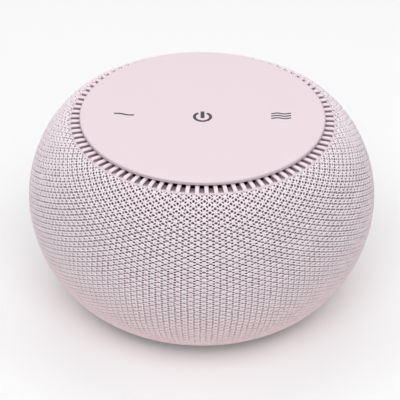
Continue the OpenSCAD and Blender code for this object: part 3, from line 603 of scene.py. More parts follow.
def flat_cable(name, colour, pitch=1.0 * MM):
    """A flat cable: parallel conductors that show as ridges across X under a clear jacket, painted lighter on
    the ridges as a painted highlight and darker between them as painted shade.
    """
    finish = Finish(name, colour, Coat_Weight=0.4, Coat_Roughness=0.2)
    ridge = ramp(from_middle(finish.xyz()[0] / pitch), 0.36, 0.22)
    # painted highlight on the ridges and painted shade in the grooves between them
    finish.paint(finish.mixed(ridge, tinted(colour, 1.25), tinted(colour, 0.72)))
    finish.set("Roughness", 0.36 + 0.1 * (finish.noise(500, 2) - 0.5))
    finish.bump(ridge, 0.08 * MM)
    return finish.material


def printed(name, colour):
    """Screen-printed ink: flat and dark, with the faint unevenness of a thin print."""
    finish = Finish(name, colour, IOR=1.48)
    finish.paint(finish.mixed(finish.noise(2400, 3), tinted(colour, 0.86), tinted(colour, 1.16)))
    finish.set("Roughness", 0.42 + 0.12 * (finish.noise(1500, 2) - 0.5))
    finish.bump(finish.noise(5000, 2), 0.006 * MM)
    return finish.material


Marks = namedtuple("Marks", "hole slit groove nick loop strand rim")


def knit_marks(u, v, depth):
    """Marks of the knit, each from 0 to 1, at column u, row v and depth below the upper edge in mm.

    Crossings of whole columns and rows whose sum is even carry a hole, and the odd ones a pad of yarn with
    a nick below its middle. Half-way between four crossings lies a slit. Near the upper edge it is a thin
    slanting arc beside the hole; further down it turns level and dark as the holes close, and near the hem
    it fades and a groove runs down between the columns. A loop line arches from slit to slit, and a
    strand crosses the column between two slits. Holes and slits have a rim of yarn round them. The colour
    paints strands and rims lighter as painted highlights, and holes, slits, nicks, loop lines and grooves
    darker as painted shade.
    """
    middle = ramp(depth, 5.0, 17.0)
    tilt = ramp(depth, 25.0, 11.0)
    low = ramp(depth, 26.0, 44.0)

    # the place within a diamond of the pattern, with its hole at the middle
    a = (u + v) * 0.5
    b = (u - v) * 0.5
    near_a = a - step("ROUND", a)
    near_b = b - step("ROUND", b)
    side = near_a + near_b
    below = near_a - near_b
    down = step("ABSOLUTE", below)

    # an ellipse for the hole: narrow and tall at the top, and rounder lower down
    across = side / (0.21 + 0.10 * middle)
    along = (below - 0.06) / (0.32 - 0.10 * middle)
    from_hole = across * across + along * along
    open_hole = 1.0 - 0.30 * ramp(depth, 9.0, 19.0) - 0.40 * ramp(depth, 22.0, 46.0)

    # an ellipse for the slit, at the middle of the diamond's side
    x = step("ABSOLUTE", side) - 0.5
    y = down - 0.5
    along = (5.2 - 2.08 * tilt + 0.3 * low) * x - 1.76 * tilt * y
    apart = 4.96 * tilt * x + (4.0 - 0.1 * tilt - 0.35 * low) * y
    from_slit = along * along + apart * apart
    open_slit = (0.84 + 0.16 * ramp(depth, 6.0, 13.0)) * (1.0 - 0.45 * ramp(depth, 56.0, 78.0))

    # the yarn's own lines: arches of loops, which the colour paints as lines of painted shade, and strands
    # with a hood above and below each hole, which it paints lighter as painted highlights
    from_column = from_middle(u)
    arch = (0.45 - 0.3 * low) * (1.0 - 4.0 * from_column * from_column)
    over = spot(side / 0.34, (below + 0.52) / 0.22, 1.2)
    under = spot(side / 0.34, (below - 0.76) / 0.22, 1.2)
    hood = step("MAXIMUM", over, under) * (1.0 - 0.6 * middle)
    return Marks(
        hole=inside(from_hole) * open_hole,
        slit=inside(from_slit, 0.6) * open_slit,
        groove=0.7 * ramp(from_column, 0.36, 0.48) * ramp(depth, 46.0, 66.0),
        nick=spot(side / 0.11, (below + 0.73) / 0.15),
        loop=ramp(from_middle(v + 0.5 + arch), 0.26, 0.04) * (0.3 + 0.7 * low),
        strand=step("MAXIMUM", spot(x / 0.26, down / 0.24, 1.2), hood),
        rim=step("MAXIMUM", halo(from_hole) * open_hole, halo(from_slit) * open_slit),
    )


def knit_fabric(name, colour, shade, hollow):
    """Knitted yarn: pale strands with a soft sheen and painted highlights, painted mauve shade between the
    stitches and painted dark shade in the holes. The pattern follows the cover's own attribute, which holds
    column, row and depth at each point.
    """
    finish = Finish(name, colour, Roughness=0.85, Sheen_Weight=0.36, Sheen_Roughness=0.5,
                    Sheen_Tint=(1.0, 0.84, 0.88, 1.0), IOR=1.45)
    stitch = finish.node("ShaderNodeAttribute")
    stitch.attribute_name = "stitch"
    u, v, depth = finish.xyz(stitch.outputs["Vector"])
    marks = knit_marks(u, v, depth)
    luck = finish.chance(finish.vector(step("FLOOR", u), step("FLOOR", v), 0.0))
    tone = finish.chance(finish.vector(step("ROUND", u), step("ROUND", v), 7.0))
    column = finish.chance(finish.vector(step("FLOOR", u), 0.0, 3.0))

    # yarn: strands and rims painted lighter as painted highlights, with a random tone for each stitch;
    # painted shade in the nicks, between the loops and in the grooves; and warmer towards the hem
    lift = step("MINIMUM", 0.6 * marks.strand + 0.7 * marks.rim + 0.4 * tone, 1.0)
    lift = lift * (1.0 - 0.8 * marks.loop * (1.0 - marks.rim))
    line = step("MAXIMUM", 0.42 * marks.nick, 0.26 * marks.loop * (0.4 + 0.6 * tone))
    yarn = finish.mixed(lift, tinted(colour, 0.87), tinted(colour, 1.1))
    yarn = finish.mixed(step("MAXIMUM", 0.3 * marks.groove, line), yarn, shade)
    yarn = finish.mixed(ramp(depth, 40.0, 82.0), yarn, tinted(colour, 1.0, 0.975, 0.955))

    # holes and slits: painted shade, each a little different, first into the shade colour and then into the
    # dark hollow colour, stronger lower down
    slit = marks.slit * (0.74 + 0.13 * luck + 0.13 * column)
    dark = step("MAXIMUM", marks.hole * (0.8 + 0.2 * tone), slit) * (1.0 + 0.35 * ramp(depth, 22.0, 42.0))
    body = finish.mixed(ramp(dark, 0.0, 0.45), yarn, shade)
    finish.paint(finish.mixed(ramp(dark, 0.25, 0.75), body, hollow))

    # the yarn's plies and fuzz
    plies = step("SINE", (u + v) * (TURN * 2.5)) * step("SINE", (u - v) * (TURN * 2.5)) * 0.5 + 0.5
    fuzz = finish.noise(5200, 3)
    finish.bump((0.4 * plies + 0.3 * fuzz + 0.3 * lift) * (1.0 - dark), 0.11 * MM)
    return finish.material


# ---- finishes by slot ----


def make_finishes():
    """One material for each slot, under the slot's name."""
    knit, ring, colours = setting("knit"), setting("ring"), setting("finishes")
    knit_fabric("fabric_knit", knit.yarn, knit.shade, knit.hollow)
    ribbed("rib_plastic", ring.plastic)
    edged("disc_plastic", colours.disc)
    printed("sign_ink", colours.sign)
    moulded("base_plastic", colours.base, 0.55, grain=0.02)
    moulded("shell_plastic", colours.inner, 0.5)
    moulded("drum_plastic", tinted(colours.inner, 1.08), 0.5)
    moulded("wheel_plastic", (0.84, 0.83, 0.82), 0.45)
    moulded("glide_plastic", (0.86, 0.84, 0.83), 0.25, grain=0.003)
    moulded("black_plastic", (0.022, 0.022, 0.025), 0.42, grain=0.01)
    moulded("socket_plastic", (0.80, 0.75, 0.62), 0.48)
    moulded("capacitor_sleeve", (0.02, 0.03, 0.09), 0.22, grain=0.002)
    rubber("foot_rubber", (0.20, 0.17, 0.18))
    rubber("isolator_rubber", (0.03, 0.03, 0.03))
    plated_steel("screw_steel", (0.62, 0.62, 0.63), 0.34)
    plated_steel("plate_steel", (0.55, 0.56, 0.57), 0.40)
    turned_metal("shaft_steel", (0.70, 0.70, 0.71), 0.18)
    turned_metal("cup_steel", (0.48, 0.49, 0.51), 0.30, line_pitch=0.3 * MM)
    turned_metal("tube_brass", (0.72, 0.52, 0.24), 0.24)
    turned_metal("contact_brass", (0.74, 0.58, 0.30), 0.20)
    turned_metal("bush_bronze", (0.48, 0.28, 0.15), 0.42, line_pitch=0.2 * MM)
    turned_metal("electrode_copper", (0.72, 0.36, 0.20), 0.30)
    laminated("core_steel", (0.35, 0.36, 0.38))
    ferrite("magnet_ferrite", (0.055, 0.05, 0.05))
    wound_wire("coil_copper", (0.62, 0.22, 0.07))
    circuit_board("board_green", (0.02, 0.13, 0.06))
    flat_cable("cable_grey", (0.52, 0.50, 0.46))


def slot_of(name):
    """The material slot of a node of the frame."""
    return next(s["material_slot"] for s in frame["record"]["subparts"] if s["node"] == name)


def body_of(name):
    """The body that a node of the frame rides on."""
    return next(body for body, names in frame["record"]["behaviour"]["bodies"].items() if name in names)


def stand_for(piece, name):
    """Lets a new piece take the place of a node of the frame, with the node's material and body."""
    slot = slot_of(name)
    piece.data.materials.append(bpy.data.materials[slot])
    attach(piece, body_of(name))
    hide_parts(name)


# ---- the frame's solids, as points that new pieces take their sizes from ----


def solids(name):
    """The separate solids of a node of the frame, each as an array of its points.
    Points at one place count as one. Every point then takes the lowest number among those it shares an edge
    with, over and over, until each solid has one number.
    """
    mesh = frame["nodes"][name].data
    points = np.empty((len(mesh.vertices), 3), np.float32)
    mesh.vertices.foreach_get("co", points.ravel())
    edges = np.empty((len(mesh.edges), 2), np.int32)
    mesh.edges.foreach_get("vertices", edges.ravel())
    place = np.unique(np.round(points / (0.001 * MM)), axis=0, return_inverse=True)[1].ravel()
    one, other = place[edges].T
    label = np.arange(place.max() + 1)
    settled = False
    while not settled:
        least = np.minimum(label[one], label[other])
        lower = label.copy()
        np.minimum.at(lower, one, least)
        np.minimum.at(lower, other, least)
        settled = np.array_equal(lower[lower], label)
        label = lower[lower]
    own = label[place]
    return [points[own == k].astype(float) for k in np.unique(own)]


def middle_of(points):
    """The middle of the box round some points."""
    return (points.min(0) + points.max(0)) / 2


def at_each(found, shape):
    """A shape round the Z axis, set up at the middle of each solid: points as [solid, ring, place, xyz]."""
    return shape[None] + np.array([middle_of(solid) * (1, 1, 0) for solid in found])[:, None, None]


def rounded(outline, cut):
    """A closed outline with each corner P eased: (1-t)^2 A + 2 t (1-t) P + t^2 B, where A and B lie on the
    corner's two sides, the cut away from it.
    """
    t = np.linspace(0, 1, 5)[None, :, None]
    corner = outline[:, None]
    before = np.roll(outline, 1, 0)[:, None] - corner
    after = np.roll(outline, -1, 0)[:, None] - corner
    start = corner + cut * before / np.linalg.norm(before, axis=-1, keepdims=True)
    end = corner + cut * after / np.linalg.norm(after, axis=-1, keepdims=True)
    return ((1 - t) ** 2 * start + 2 * t * (1 - t) * corner + t ** 2 * end).reshape(-1, 2)


def turned_outline(points):
    """The corners of a ring's cross-section from its points, clockwise: places that differ by under 0.1 mm
    count as one, and those on a straight side are left out.
    """
    outline = np.stack([np.hypot(points[:, 0], points[:, 1]), points[:, 2]], -1)
    outline = np.unique(np.round(outline / (0.02 * MM)), axis=0) * 0.02 * MM
    from_mid = outline - outline.mean(0)
    outline = outline[np.argsort(-np.arctan2(from_mid[:, 1], from_mid[:, 0]))]
    outline = outline[np.linalg.norm(outline - np.roll(outline, 1, 0), axis=1) > 0.1 * MM]
    way = outline - np.roll(outline, 1, 0)
    way /= np.linalg.norm(way, axis=1, keepdims=True)
    onward = np.roll(way, -1, 0)
    return outline[np.abs(way[:, 0] * onward[:, 1] - way[:, 1] * onward[:, 0]) > 0.2]


# ---- operators ----


class NOISE_OT_finishes(bpy.types.Operator):
    """Makes every material and puts one on each node of the frame"""

    bl_idname = "noise_machine.finishes"
    bl_label = "Finishes"

    def execute(self, context):
        for node in frame["nodes"].values():
            node.data.materials.clear()
        for plain in list(bpy.data.materials):
            bpy.data.materials.remove(plain)
        make_finishes()
        for name, node in frame["nodes"].items():
            node.data.materials.append(bpy.data.materials[slot_of(name)])
        return {"FINISHED"}


# ---- the knitted cover ----


def stitch_rows(depth, knit):
    """Row number at a depth below the upper edge.
    The row height is low + (top - low) e^(-depth / fade), so the number is its reciprocal's integral,
    (fade / low) ln((low e^(depth / fade) + top - low) / top).
    """
    grown = knit.row_low * np.exp(depth / knit.row_fade) + knit.row_top - knit.row_low
    return knit.row_fade / knit.row_low * np.log(grown / knit.row_top)


def strayed(u, v, knit, seed):
    """Smooth random shifts at columns u and rows v: one random number for each crossing of the grid, blended
    between the four crossings round a point as a bilinear surface. It closes round the cover.
    """
    rows = int(v.max()) + 2
    grid = np.random.default_rng(seed).uniform(-1, 1, (rows, knit.columns)) * knit.stray
    column, row = np.floor(u).astype(int), np.floor(v).astype(int)
    right, down = u - column, v - row
    upper = grid[row, column] * (1 - right) + grid[row, (column + 1) % knit.columns] * right
    lower = grid[row + 1, column] * (1 - right) + grid[row + 1, (column + 1) % knit.columns] * right
    return upper * (1 - down) + lower * down


def knit_relief(knit, u, v, depth, end):
    """How far each point of the knit lies below the cover's outer face: the relief times the strongest
    dark mark there, less in the lower part, with a shallow dip between the strands. The upper and lower
    edges fold in.
    """
    marks = knit_marks(u, v, depth / MM)
    flatter = 1 - 0.3 * ramp(depth / MM, 24.0, 42.0)
    hollow = np.maximum(marks.hole, 0.8 * marks.slit * flatter)
    dip = 0.18 * flatter * (1 - np.maximum(marks.strand, marks.rim)) * (1 - hollow)
    from_edge = np.minimum(depth, end - depth)
    fold = np.clip(1 - from_edge / (0.6 * MM), 0, 1) ** 2 * 0.35 * MM
    return np.minimum(knit.relief * (hollow + dip) + fold, DEEPEST)


def knit_surface(knit):
    """The whole cover as a grid: points, normals and stitch coordinates, all periodic round the axis.
    Each point is the side's outline at its depth, turned about Z by its column's share of a turn, and
    moved inwards by the relief there. The marks are looked up a little aside of the point's own column and
    row, as the yarn strays. Three more rows at each end tuck the edge in.
    """
    outline, normals, length = side_outline()
    row_of = stitch_rows(length, knit)
    rows = (np.arange(int(row_of[-1]) + 1)[:, None] + ROW_STEPS).ravel()
    rows = np.append(rows[rows < row_of[-1] - 0.12], row_of[-1])
    depth = np.interp(rows, row_of, length)
    u = (np.arange(knit.columns)[:, None] + COLUMN_STEPS).ravel()[None, :]
    v = rows[:, None]
    seen_u = u + strayed(u, v, knit, 1)
    seen_v = v + strayed(u, v, knit, 2)
    sunk = knit_relief(knit, seen_u, seen_v, depth[:, None], length[-1])
    tuck = DEEPEST * np.array([[1.0], [0.8], [0.55]]) * np.ones_like(u)
    sunk = np.vstack([tuck, sunk, tuck[::-1]])
    picked = np.concatenate([np.zeros(3, int), np.arange(len(rows)), np.full(3, len(rows) - 1)])
    at = np.stack([np.interp(depth, length, outline[:, i]) for i in (0, 1)], -1)[picked]
    out = np.stack([np.interp(depth, length, normals[:, i]) for i in (0, 1)], -1)[picked]
    place = at[:, None, :] - sunk[:, :, None] * out[:, None, :]
    angle = u * TURN / knit.columns + SEAM_ANGLE
    points = turned(place[..., 0], place[..., 1], angle)
    facing = np.cross(np.gradient(points, axis=0), np.roll(points, -1, 1) - np.roll(points, 1, 1))
    facing /= np.linalg.norm(facing, axis=-1, keepdims=True) + 1e-12
    stitch = np.stack(np.broadcast_arrays(seen_u[picked], seen_v[picked], depth[picked][:, None] / MM), -1)
    return points, facing, stitch


def add_vectors(mesh, name, values):
    """Stores one vector for each point of a mesh."""
    layer = mesh.attributes.new(name, "FLOAT_VECTOR", "POINT")
    layer.data.foreach_set("vector", np.ascontiguousarray(values, np.float32).ravel())


def add_bake_map(mesh, rows, columns):
    """A flat map for colour bakes: columns across and rows down, over the unit square."""
    layer = mesh.uv_layers.new(name="OFBake")
    corner = np.empty(len(mesh.loops), np.int32)
    mesh.loops.foreach_get("vertex_index", corner)
    flat = np.stack([corner % columns / (columns - 1), 1 - corner // columns / (rows - 1)], -1)
    layer.uv.foreach_set("vector", flat.astype(np.float32).ravel())


class NOISE_OT_knit_cover(bpy.types.Operator):
    """Knits the cover in four sectors, with every hole and slit in its mesh"""

    bl_idname = "noise_machine.knit_cover"
    bl_label = "Knitted cover"

    def execute(self, context):
        knit = setting("knit")
        points, facing, stitch = knit_surface(knit)
        rows, around = points.shape[:2]
        width = around // len(SECTORS)
        for number, side in enumerate(SECTORS):
            pick = np.arange(number * width, (number + 1) * width + 1)
            part = points[:, pick % around]
            own = stitch[:, pick % around].copy()
            own[:, pick >= around, 0] += knit.columns
            piece = add_mesh("knit_" + side, part.reshape(-1, 3), [grid_faces(rows, width + 1)])
            add_vectors(piece.data, "stitch", own)
            add_bake_map(piece.data, rows, width + 1)
            piece.data.normals_split_custom_set_from_vertices(facing[:, pick % around].reshape(-1, 3))
            stand_for(piece, "fabric_cover")
        return {"FINISHED"}


# ---- the air ring's band and ribs ----


def arc(centre, radius, start, end, count):
    """Points of a circle's arc: centre + radius (cos a, sin a), for angles from start to end in degrees."""
    a = np.radians(np.linspace(start, end, count))
    return np.asarray(centre) + radius * np.stack([np.cos(a), np.sin(a)], -1)


def ring_band():
    """Body of the air ring: a thin rounded lip at the fabric's edge, the flange that hangs under the
    fabric, the hidden band under the disc, and between the ribs a floor that rises a little towards the
    disc and ends in a round edge under it.
    """
    wall = SEAT[0] - RING_T
    foot = RIM_R - LIP_T
    out_z = RIM_Z - SLOT_DEPTH
    in_z = out_z + SLOT_RISE
    band_r = RIB_END_R + INNER_BAND_W
    lip = arc((RIM_R - LIP_T / 2, RIM_Z - LIP_T / 2), LIP_T / 2, 180, 0, 7)
    under = np.array([SEAT, (SEAT[0], RING_LOW), (wall, RING_LOW), (wall, out_z - RING_T),
                      (band_r, in_z - RING_T), (band_r, RING_LOW), (RIB_END_R, RING_LOW)])
    edge = arc((RIB_END_R + 0.5 * MM, in_z - 0.5 * MM), 0.5 * MM, 180, 90, 6)
    fillet = arc((foot - 0.25 * MM, out_z + 0.25 * MM), 0.25 * MM, 270, 360, 5)
    return np.vstack([lip, under, edge, fillet])


def rib_section(width, rounding):
    """Top of a rib's cross-section, as sideways place and drop from the rib's back. Its corners are round."""
    half = width / 2
    right = arc((half - rounding, -rounding), rounding, 0, 90, 5)
    left = arc((rounding - half, -rounding), rounding, 90, 180, 5)
    return np.vstack([right, left])


def ribs(width, rounding, count):
    """Points of all ribs, as [rib, station, section, xyz].
    The section is carried out along the ring's radius; at each station its top follows the rib's back,
    which is level and then falls in a quarter ellipse to the lip, z = low + (high - low) sqrt(1 - s^2)
    with s from 0 to 1 over the fall. Its last two points stand at the rib's underside.
    """
    last = RIM_R - LIP_T / 2
    share = np.sin(np.radians(np.linspace(0, 84, 7)))
    radius = np.concatenate([[RIB_END_R, RIB_IN_R], RIM_R - RIB_FALL + share * (last - RIM_R + RIB_FALL)])
    foot_z = RIM_Z - 0.1 * MM
    back = np.concatenate([[RIB_TOP_Z, RIB_TOP_Z], foot_z + (RIB_TOP_Z - foot_z) * np.sqrt(1 - share ** 2)])
    under = np.interp(radius, [SEAT[0] - RING_T / 2, last], [RING_LOW, RIM_Z - 0.5 * MM])
    section = rib_section(width, rounding)
    side = np.concatenate([section[:, 0], [-width / 2, width / 2]])
    top = back[:, None] + section[None, :, 1]
    height = np.hstack([top, under[:, None], under[:, None]])
    angle = (np.arange(count) + 0.5) * TURN / count - TURN / 4
    along = np.broadcast_to(radius[:, None], height.shape)
    side = np.broadcast_to(side, height.shape)
    cos, sin = np.cos(angle)[:, None, None], np.sin(angle)[:, None, None]
    return np.stack([along * cos - side * sin, along * sin + side * cos,
                     np.broadcast_to(height, (count, *height.shape))], -1)


class NOISE_OT_air_ring(bpy.types.Operator):
    """Builds the air ring: its turned body and the ribs across it"""

    bl_idname = "noise_machine.air_ring"
    bl_label = "Air ring"

    def execute(self, context):
        ring = setting("ring")
        band_points, band_faces = lathe(ring_band(), RING_SEGMENTS)
        rib_points, rib_faces = stacked(ribs(ring.rib_width, ring.rib_round, ring.ribs), clockwise=True)
        points = np.vstack([band_points, rib_points])
        faces = [band_faces] + [part + len(band_points) for part in rib_faces]
        stand_for(add_mesh("air_ring", points, faces, smooth_below=38), "vent_ring")
        return {"FINISHED"}


# ---- small pieces: rings, feet, screws, windings and capacitors ----


class NOISE_OT_rings(bpy.types.Operator):
    """Turns the plain rings, hem, glide, bushings and magnet, with eased edges"""

    bl_idname = "noise_machine.rings"
    bl_label = "Rings"

    # each ring with how far from a corner its edge starts to bend, in millimetres
    cuts = {
        "hem_ring": 0.35, "glide_ring": 0.2, "lower_bushing": 0.2, "upper_bushing": 0.2, "magnet_ring": 0.3,
    }

    def execute(self, context):
        for name, cut in self.cuts.items():
            outline = turned_outline(solids(name)[0])
            if len(outline) != 4:
                raise RuntimeError(f"{name} has {len(outline)} corners in its outline, not 4")
            points, faces = lathe(rounded(outline, cut * MM), 240)
            stand_for(add_mesh("turned_" + name, points, [faces], smooth_below=50), name)
        return {"FINISHED"}


class NOISE_OT_feet(bpy.types.Operator):
    """Moulds the rubber feet, with a soft edge and a groove round the pad"""

    bl_idname = "noise_machine.feet"
    bl_label = "Feet"

    # radius and height in millimetres, from the side down to the pad's middle
    outline = ((6, 0.75), (5.86, 0.42), (5.5, 0.17), (5.0, 0.05), (4.4, 0), (3.9, 0), (3.7, 0.1), (3.6, 0.2),
               (3.4, 0.2), (3.3, 0.1), (3.1, 0), (1.2, 0))

    def execute(self, context):
        feet = solids("rubber_feet")
        outline = np.array(self.outline) * MM
        outline = np.vstack([(outline[0, 0], feet[0][:, 2].max()), outline])
        foot = turned(outline[:, :1], outline[:, 1:], np.arange(56) * TURN / 56)
        points, faces = stacked(at_each(feet, foot))
        stand_for(add_mesh("feet", points, faces, smooth_below=60), "rubber_feet")
        return {"FINISHED"}


def screw_outline(radius, length, around=36):
    """A pan-head screw as rings from tip to socket floor: radius, distance from the seat, and angle.
    Its shank carries a helical thread of radius r (1 - 0.09 (1 - cos(2 pi s / pitch - a))) at distance s
    and angle a, and its head a six-sided socket whose flats stand at r cos 30.
    """
    angle = np.arange(around) * TURN / around
    pitch = 0.65 * radius
    along = np.arange(length - 0.35 * radius, 0.3 * radius, -pitch / 6)[:, None]
    thread = radius * (1 - 0.09 * (1 - np.cos(along * TURN / pitch - angle)))
    socket = radius * math.cos(math.pi / 6) / np.cos(angle % (math.pi / 3) - math.pi / 6)
    level = np.full(around, radius)
    head = SCREW_HEAD_H * radius
    dome = np.radians(np.linspace(0, 80, 6))
    rings = [(0.72 * level, length), (0.84 * level, length - 0.18 * radius)]
    rings += list(zip(thread, along[:, 0]))
    rings += [(level, 0.15 * radius), (level, 0), (1.94 * level, 0), (2 * level, -0.08 * radius)]
    rings += [((1.35 + 0.65 * math.cos(a)) * level, -(0.5 + 0.5 * math.sin(a)) * head) for a in dome]
    rings += [(1.08 * socket, -head), (socket, -0.93 * head), (0.99 * socket, -0.5 * head)]
    return np.array([ring for ring, s in rings]), np.array([[s] for ring, s in rings]), angle


class NOISE_OT_screws(bpy.types.Operator):
    """Cuts every screw with its thread, pan head and six-sided socket"""

    bl_idname = "noise_machine.screws"
    bl_label = "Screws"

    groups = ("base_screws", "drum_screws", "lid_screws", "motor_screws", "carrier_screws")

    def execute(self, context):
        for name in self.groups:
            found = solids(name)
            height = found[0][:, 2]
            low, high = height.min(), height.max()
            spread = np.hypot(*(found[0] - middle_of(found[0]))[:, :2].T)
            radius = spread.max() / 2
            head = SCREW_HEAD_H * radius
            head_low = spread[height < low + 0.1 * MM].max() > 1.5 * radius
            seat, way = (low + head, 1) if head_low else (high - head, -1)
            ring, along, angle = screw_outline(radius, high - low - head)
            screw = turned(ring, seat + way * along, angle)
            points, faces = stacked(at_each(found, screw), clockwise=not head_low)
            stand_for(add_mesh("cut_" + name, points, faces, smooth_below=35), name)
        return {"FINISHED"}


def wound_coil(coil, wire):
    """Turns of wire round a motor's tooth, from the points of the coil's solid: [turn, place, section, xyz].
    Each turn is a round wire carried along a rectangle with round corners, which are quarter circles about
    +-(half - corner). The turns stand side by side along the tooth.
    """
    centre = middle_of(coil)
    heading = math.atan2(centre[1], centre[0])
    cos, sin = math.cos(heading), math.sin(heading)
    along = coil[:, 0] * cos + coil[:, 1] * sin
    side = np.abs(-coil[:, 0] * sin + coil[:, 1] * cos)
    thick = side.max() - side.min()
    corner = thick / 2
    half = np.array([side.max(), np.ptp(coil[:, 2]) / 2]) - corner
    quarter = np.arange(4)[:, None] * 90
    out = np.radians(quarter + np.linspace(0, 90, 6))
    out = np.stack([np.cos(out), np.sin(out)], -1)
    diagonal = np.radians(quarter + 45)
    path = np.sign(np.stack([np.cos(diagonal), np.sin(diagonal)], -1)) * (half - corner) + corner * out
    section = np.arange(8) * TURN / 8
    swell = 0.98 * corner * np.cos(section)[:, None]
    loop = path.reshape(-1, 1, 2) + out.reshape(-1, 1, 2) * swell
    turns = int(np.ptp(along) / wire)
    pitch = np.ptp(along) / turns
    reach = along.min() + (np.arange(turns)[:, None, None] + 0.5) * pitch + 0.5 * pitch * np.sin(section)
    x, y, z = np.broadcast_arrays(reach, loop[..., 0], centre[2] + loop[..., 1])
    return np.stack([x * cos - y * sin, x * sin + y * cos, z], -1)


class NOISE_OT_windings(bpy.types.Operator):
    """Winds each tooth of the motor with turns of enamelled wire"""

    bl_idname = "noise_machine.windings"
    bl_label = "Windings"

    wire = 0.62 * MM

    def execute(self, context):
        turns = np.vstack([wound_coil(coil, self.wire) for coil in solids("stator_coils")])
        count, places, sections = turns.shape[:3]
        one = grid_faces(places + 1, sections, wrap=True) % (places * sections)
        faces = (one + np.arange(count)[:, None, None] * places * sections).reshape(-1, 4)
        stand_for(add_mesh("windings", turns.reshape(-1, 3), [faces], smooth_below=80), "stator_coils")
        return {"FINISHED"}


class NOISE_OT_capacitors(bpy.types.Operator):
    """Rolls the capacitors, with a crimped neck and a rim round the sunk end"""

    bl_idname = "noise_machine.capacitors"
    bl_label = "Capacitors"

    def execute(self, context):
        found = solids("bulk_capacitors")
        low, high = found[0][:, 2].min(), found[0][:, 2].max()
        radius = np.ptp(found[0][:, 0]) / 2
        neck = high - 1.7 * MM
        top = [(0.9, high), (0.97, high - 0.1 * MM), (1, high - 0.35 * MM)]
        crimp = [(1, neck + 0.6 * MM), (0.93, neck + 0.25 * MM), (0.91, neck), (0.93, neck - 0.25 * MM),
                 (1, neck - 0.6 * MM)]
        rim = [(1, low + 0.8 * MM), (0.985, low + 0.4 * MM), (0.94, low + 0.12 * MM), (0.87, low)]
        end = [(0.8, low + 0.05 * MM), (0.78, low + 0.25 * MM), (0.2, low + 0.25 * MM)]
        outline = np.array(top + crimp + rim + end)
        can = turned(radius * outline[:, :1], outline[:, 1:], np.arange(48) * TURN / 48)
        points, faces = stacked(at_each(found, can))
        stand_for(add_mesh("capacitors", points, faces, smooth_below=50), "bulk_capacitors")
        return {"FINISHED"}


# ---- the stage ----

LAMP_W = 1.2
FLOOR_W = 16.0
LAMP_TARGET = Vector((0, 0, 0.04))
CAMERA_TARGET = Vector((-0.000654, 0, 0.0405))


class NOISE_OT_stage(bpy.types.Operator):
    """Lays the floor and sets up the lights and the camera"""

    bl_idname = "noise_machine.stage"
    bl_label = "Stage"

    def execute(self, context):
        stage = setting("stage")
        scene = context.scene
        scene.view_settings.view_transform = "Standard"
        add_floor(stage)
        add_sky(scene, stage.sky)
        add_lamp("key_lamp", stage.key, (0, -0.9, 1.3))
        add_lamp("back_lamp", stage.back, (0, 0.9, 1.3))
        add_lamp("left_lamp", stage.left, (-1.0, 0, 1.2))
        add_lamp("right_lamp", stage.right, (1.0, 0, 1.2))
        add_camera(scene, stage)
        return {"FINISHED"}


def add_floor(stage):
    """A plain pale floor, with a little light of its own, as a lit table has."""
    half = FLOOR_W / 2
    points = np.array([(-half, -half, 0), (half, -half, 0), (half, half, 0), (-half, half, 0)])
    floor = add_mesh("floor", points, [np.array([[0, 1, 2, 3]])])
    finish = Finish("floor_white", stage.floor, Roughness=0.9, Specular_IOR_Level=0.1)
    finish.paint(finish.mixed(finish.noise(2, 2), tinted(stage.floor, 0.998), stage.floor))
    finish.shader.inputs["Emission Color"].default_value = (1, 1, 1, 1)
    finish.shader.inputs["Emission Strength"].default_value = stage.floor_glow
    floor.data.materials.append(finish.material)


def add_sky(scene, strength):
    """Even white light from all round."""
    world = bpy.data.worlds.new("studio")
    world.use_nodes = True
    back = world.node_tree.nodes["Background"]
    back.inputs["Color"].default_value = (1, 1, 1, 1)
    back.inputs["Strength"].default_value = strength
    scene.world = world


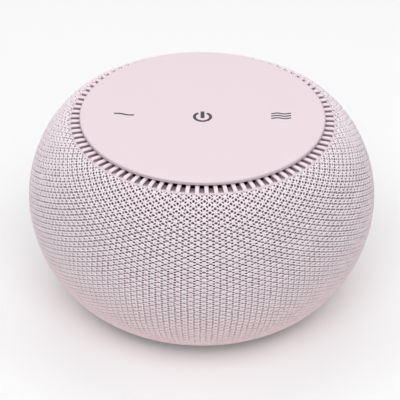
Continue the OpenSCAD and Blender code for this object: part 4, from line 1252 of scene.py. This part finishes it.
def add_lamp(name, power, place):
    """A square soft lamp at a place, turned to the object's middle."""
    lamp = bpy.data.lights.new(name, "AREA")
    lamp.energy = power
    lamp.size = LAMP_W
    holder = bpy.data.objects.new(name, lamp)
    holder.location = place
    holder.rotation_euler = (LAMP_TARGET - Vector(place)).to_track_quat("-Z", "Y").to_euler()
    bpy.context.scene.collection.objects.link(holder)


def add_camera(scene, stage):
    """A long lens in front of the object, looking down at it a hair left of its middle."""
    back = Vector((0, -math.cos(stage.elevation), math.sin(stage.elevation)))
    lens = bpy.data.cameras.new("camera")
    lens.lens = stage.lens
    lens.clip_start = 0.05
    lens.clip_end = 50
    camera = bpy.data.objects.new("camera", lens)
    camera.location = CAMERA_TARGET + stage.distance * back
    camera.rotation_euler = ((-back).to_track_quat("-Z", "Y") @ Quaternion((0, 0, 1), stage.roll)).to_euler()
    scene.collection.objects.link(camera)
    scene.camera = camera


# ---- the panel, and what runs it all ----

STEPS = (NOISE_OT_finishes, NOISE_OT_knit_cover, NOISE_OT_air_ring, NOISE_OT_rings, NOISE_OT_feet,
         NOISE_OT_screws, NOISE_OT_windings, NOISE_OT_capacitors, NOISE_OT_stage)


class NOISE_PT_panel(bpy.types.Panel):
    """Lists the steps that dress the noise machine, and their settings"""

    bl_idname = "NOISE_PT_panel"
    bl_label = "Noise Machine"
    bl_space_type = "VIEW_3D"
    bl_region_type = "UI"
    bl_category = "Noise Machine"

    def draw(self, context):
        for operator in STEPS:
            self.layout.operator(operator.bl_idname)
        for group, kind in SETTINGS.items():
            box = self.layout.box()
            box.label(text=group.capitalize())
            for name in kind.__annotations__:
                box.prop(setting(group), name)


CLASSES = (*SETTINGS.values(), *STEPS, NOISE_PT_panel)


def register():
    """Makes the settings, the operators and the panel known to Blender."""
    for kind in CLASSES:
        bpy.utils.register_class(kind)
    for group, kind in SETTINGS.items():
        setattr(bpy.types.Scene, "noise_machine_" + group, PointerProperty(type=kind))


def unregister():
    """Takes them away again."""
    for group in SETTINGS:
        delattr(bpy.types.Scene, "noise_machine_" + group)
    for kind in reversed(CLASSES):
        bpy.utils.unregister_class(kind)


def main():
    """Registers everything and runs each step."""
    register()
    for operator in STEPS:
        group, action = operator.bl_idname.split(".")
        getattr(getattr(bpy.ops, group), action)()


if __name__ == "__main__":
    main()
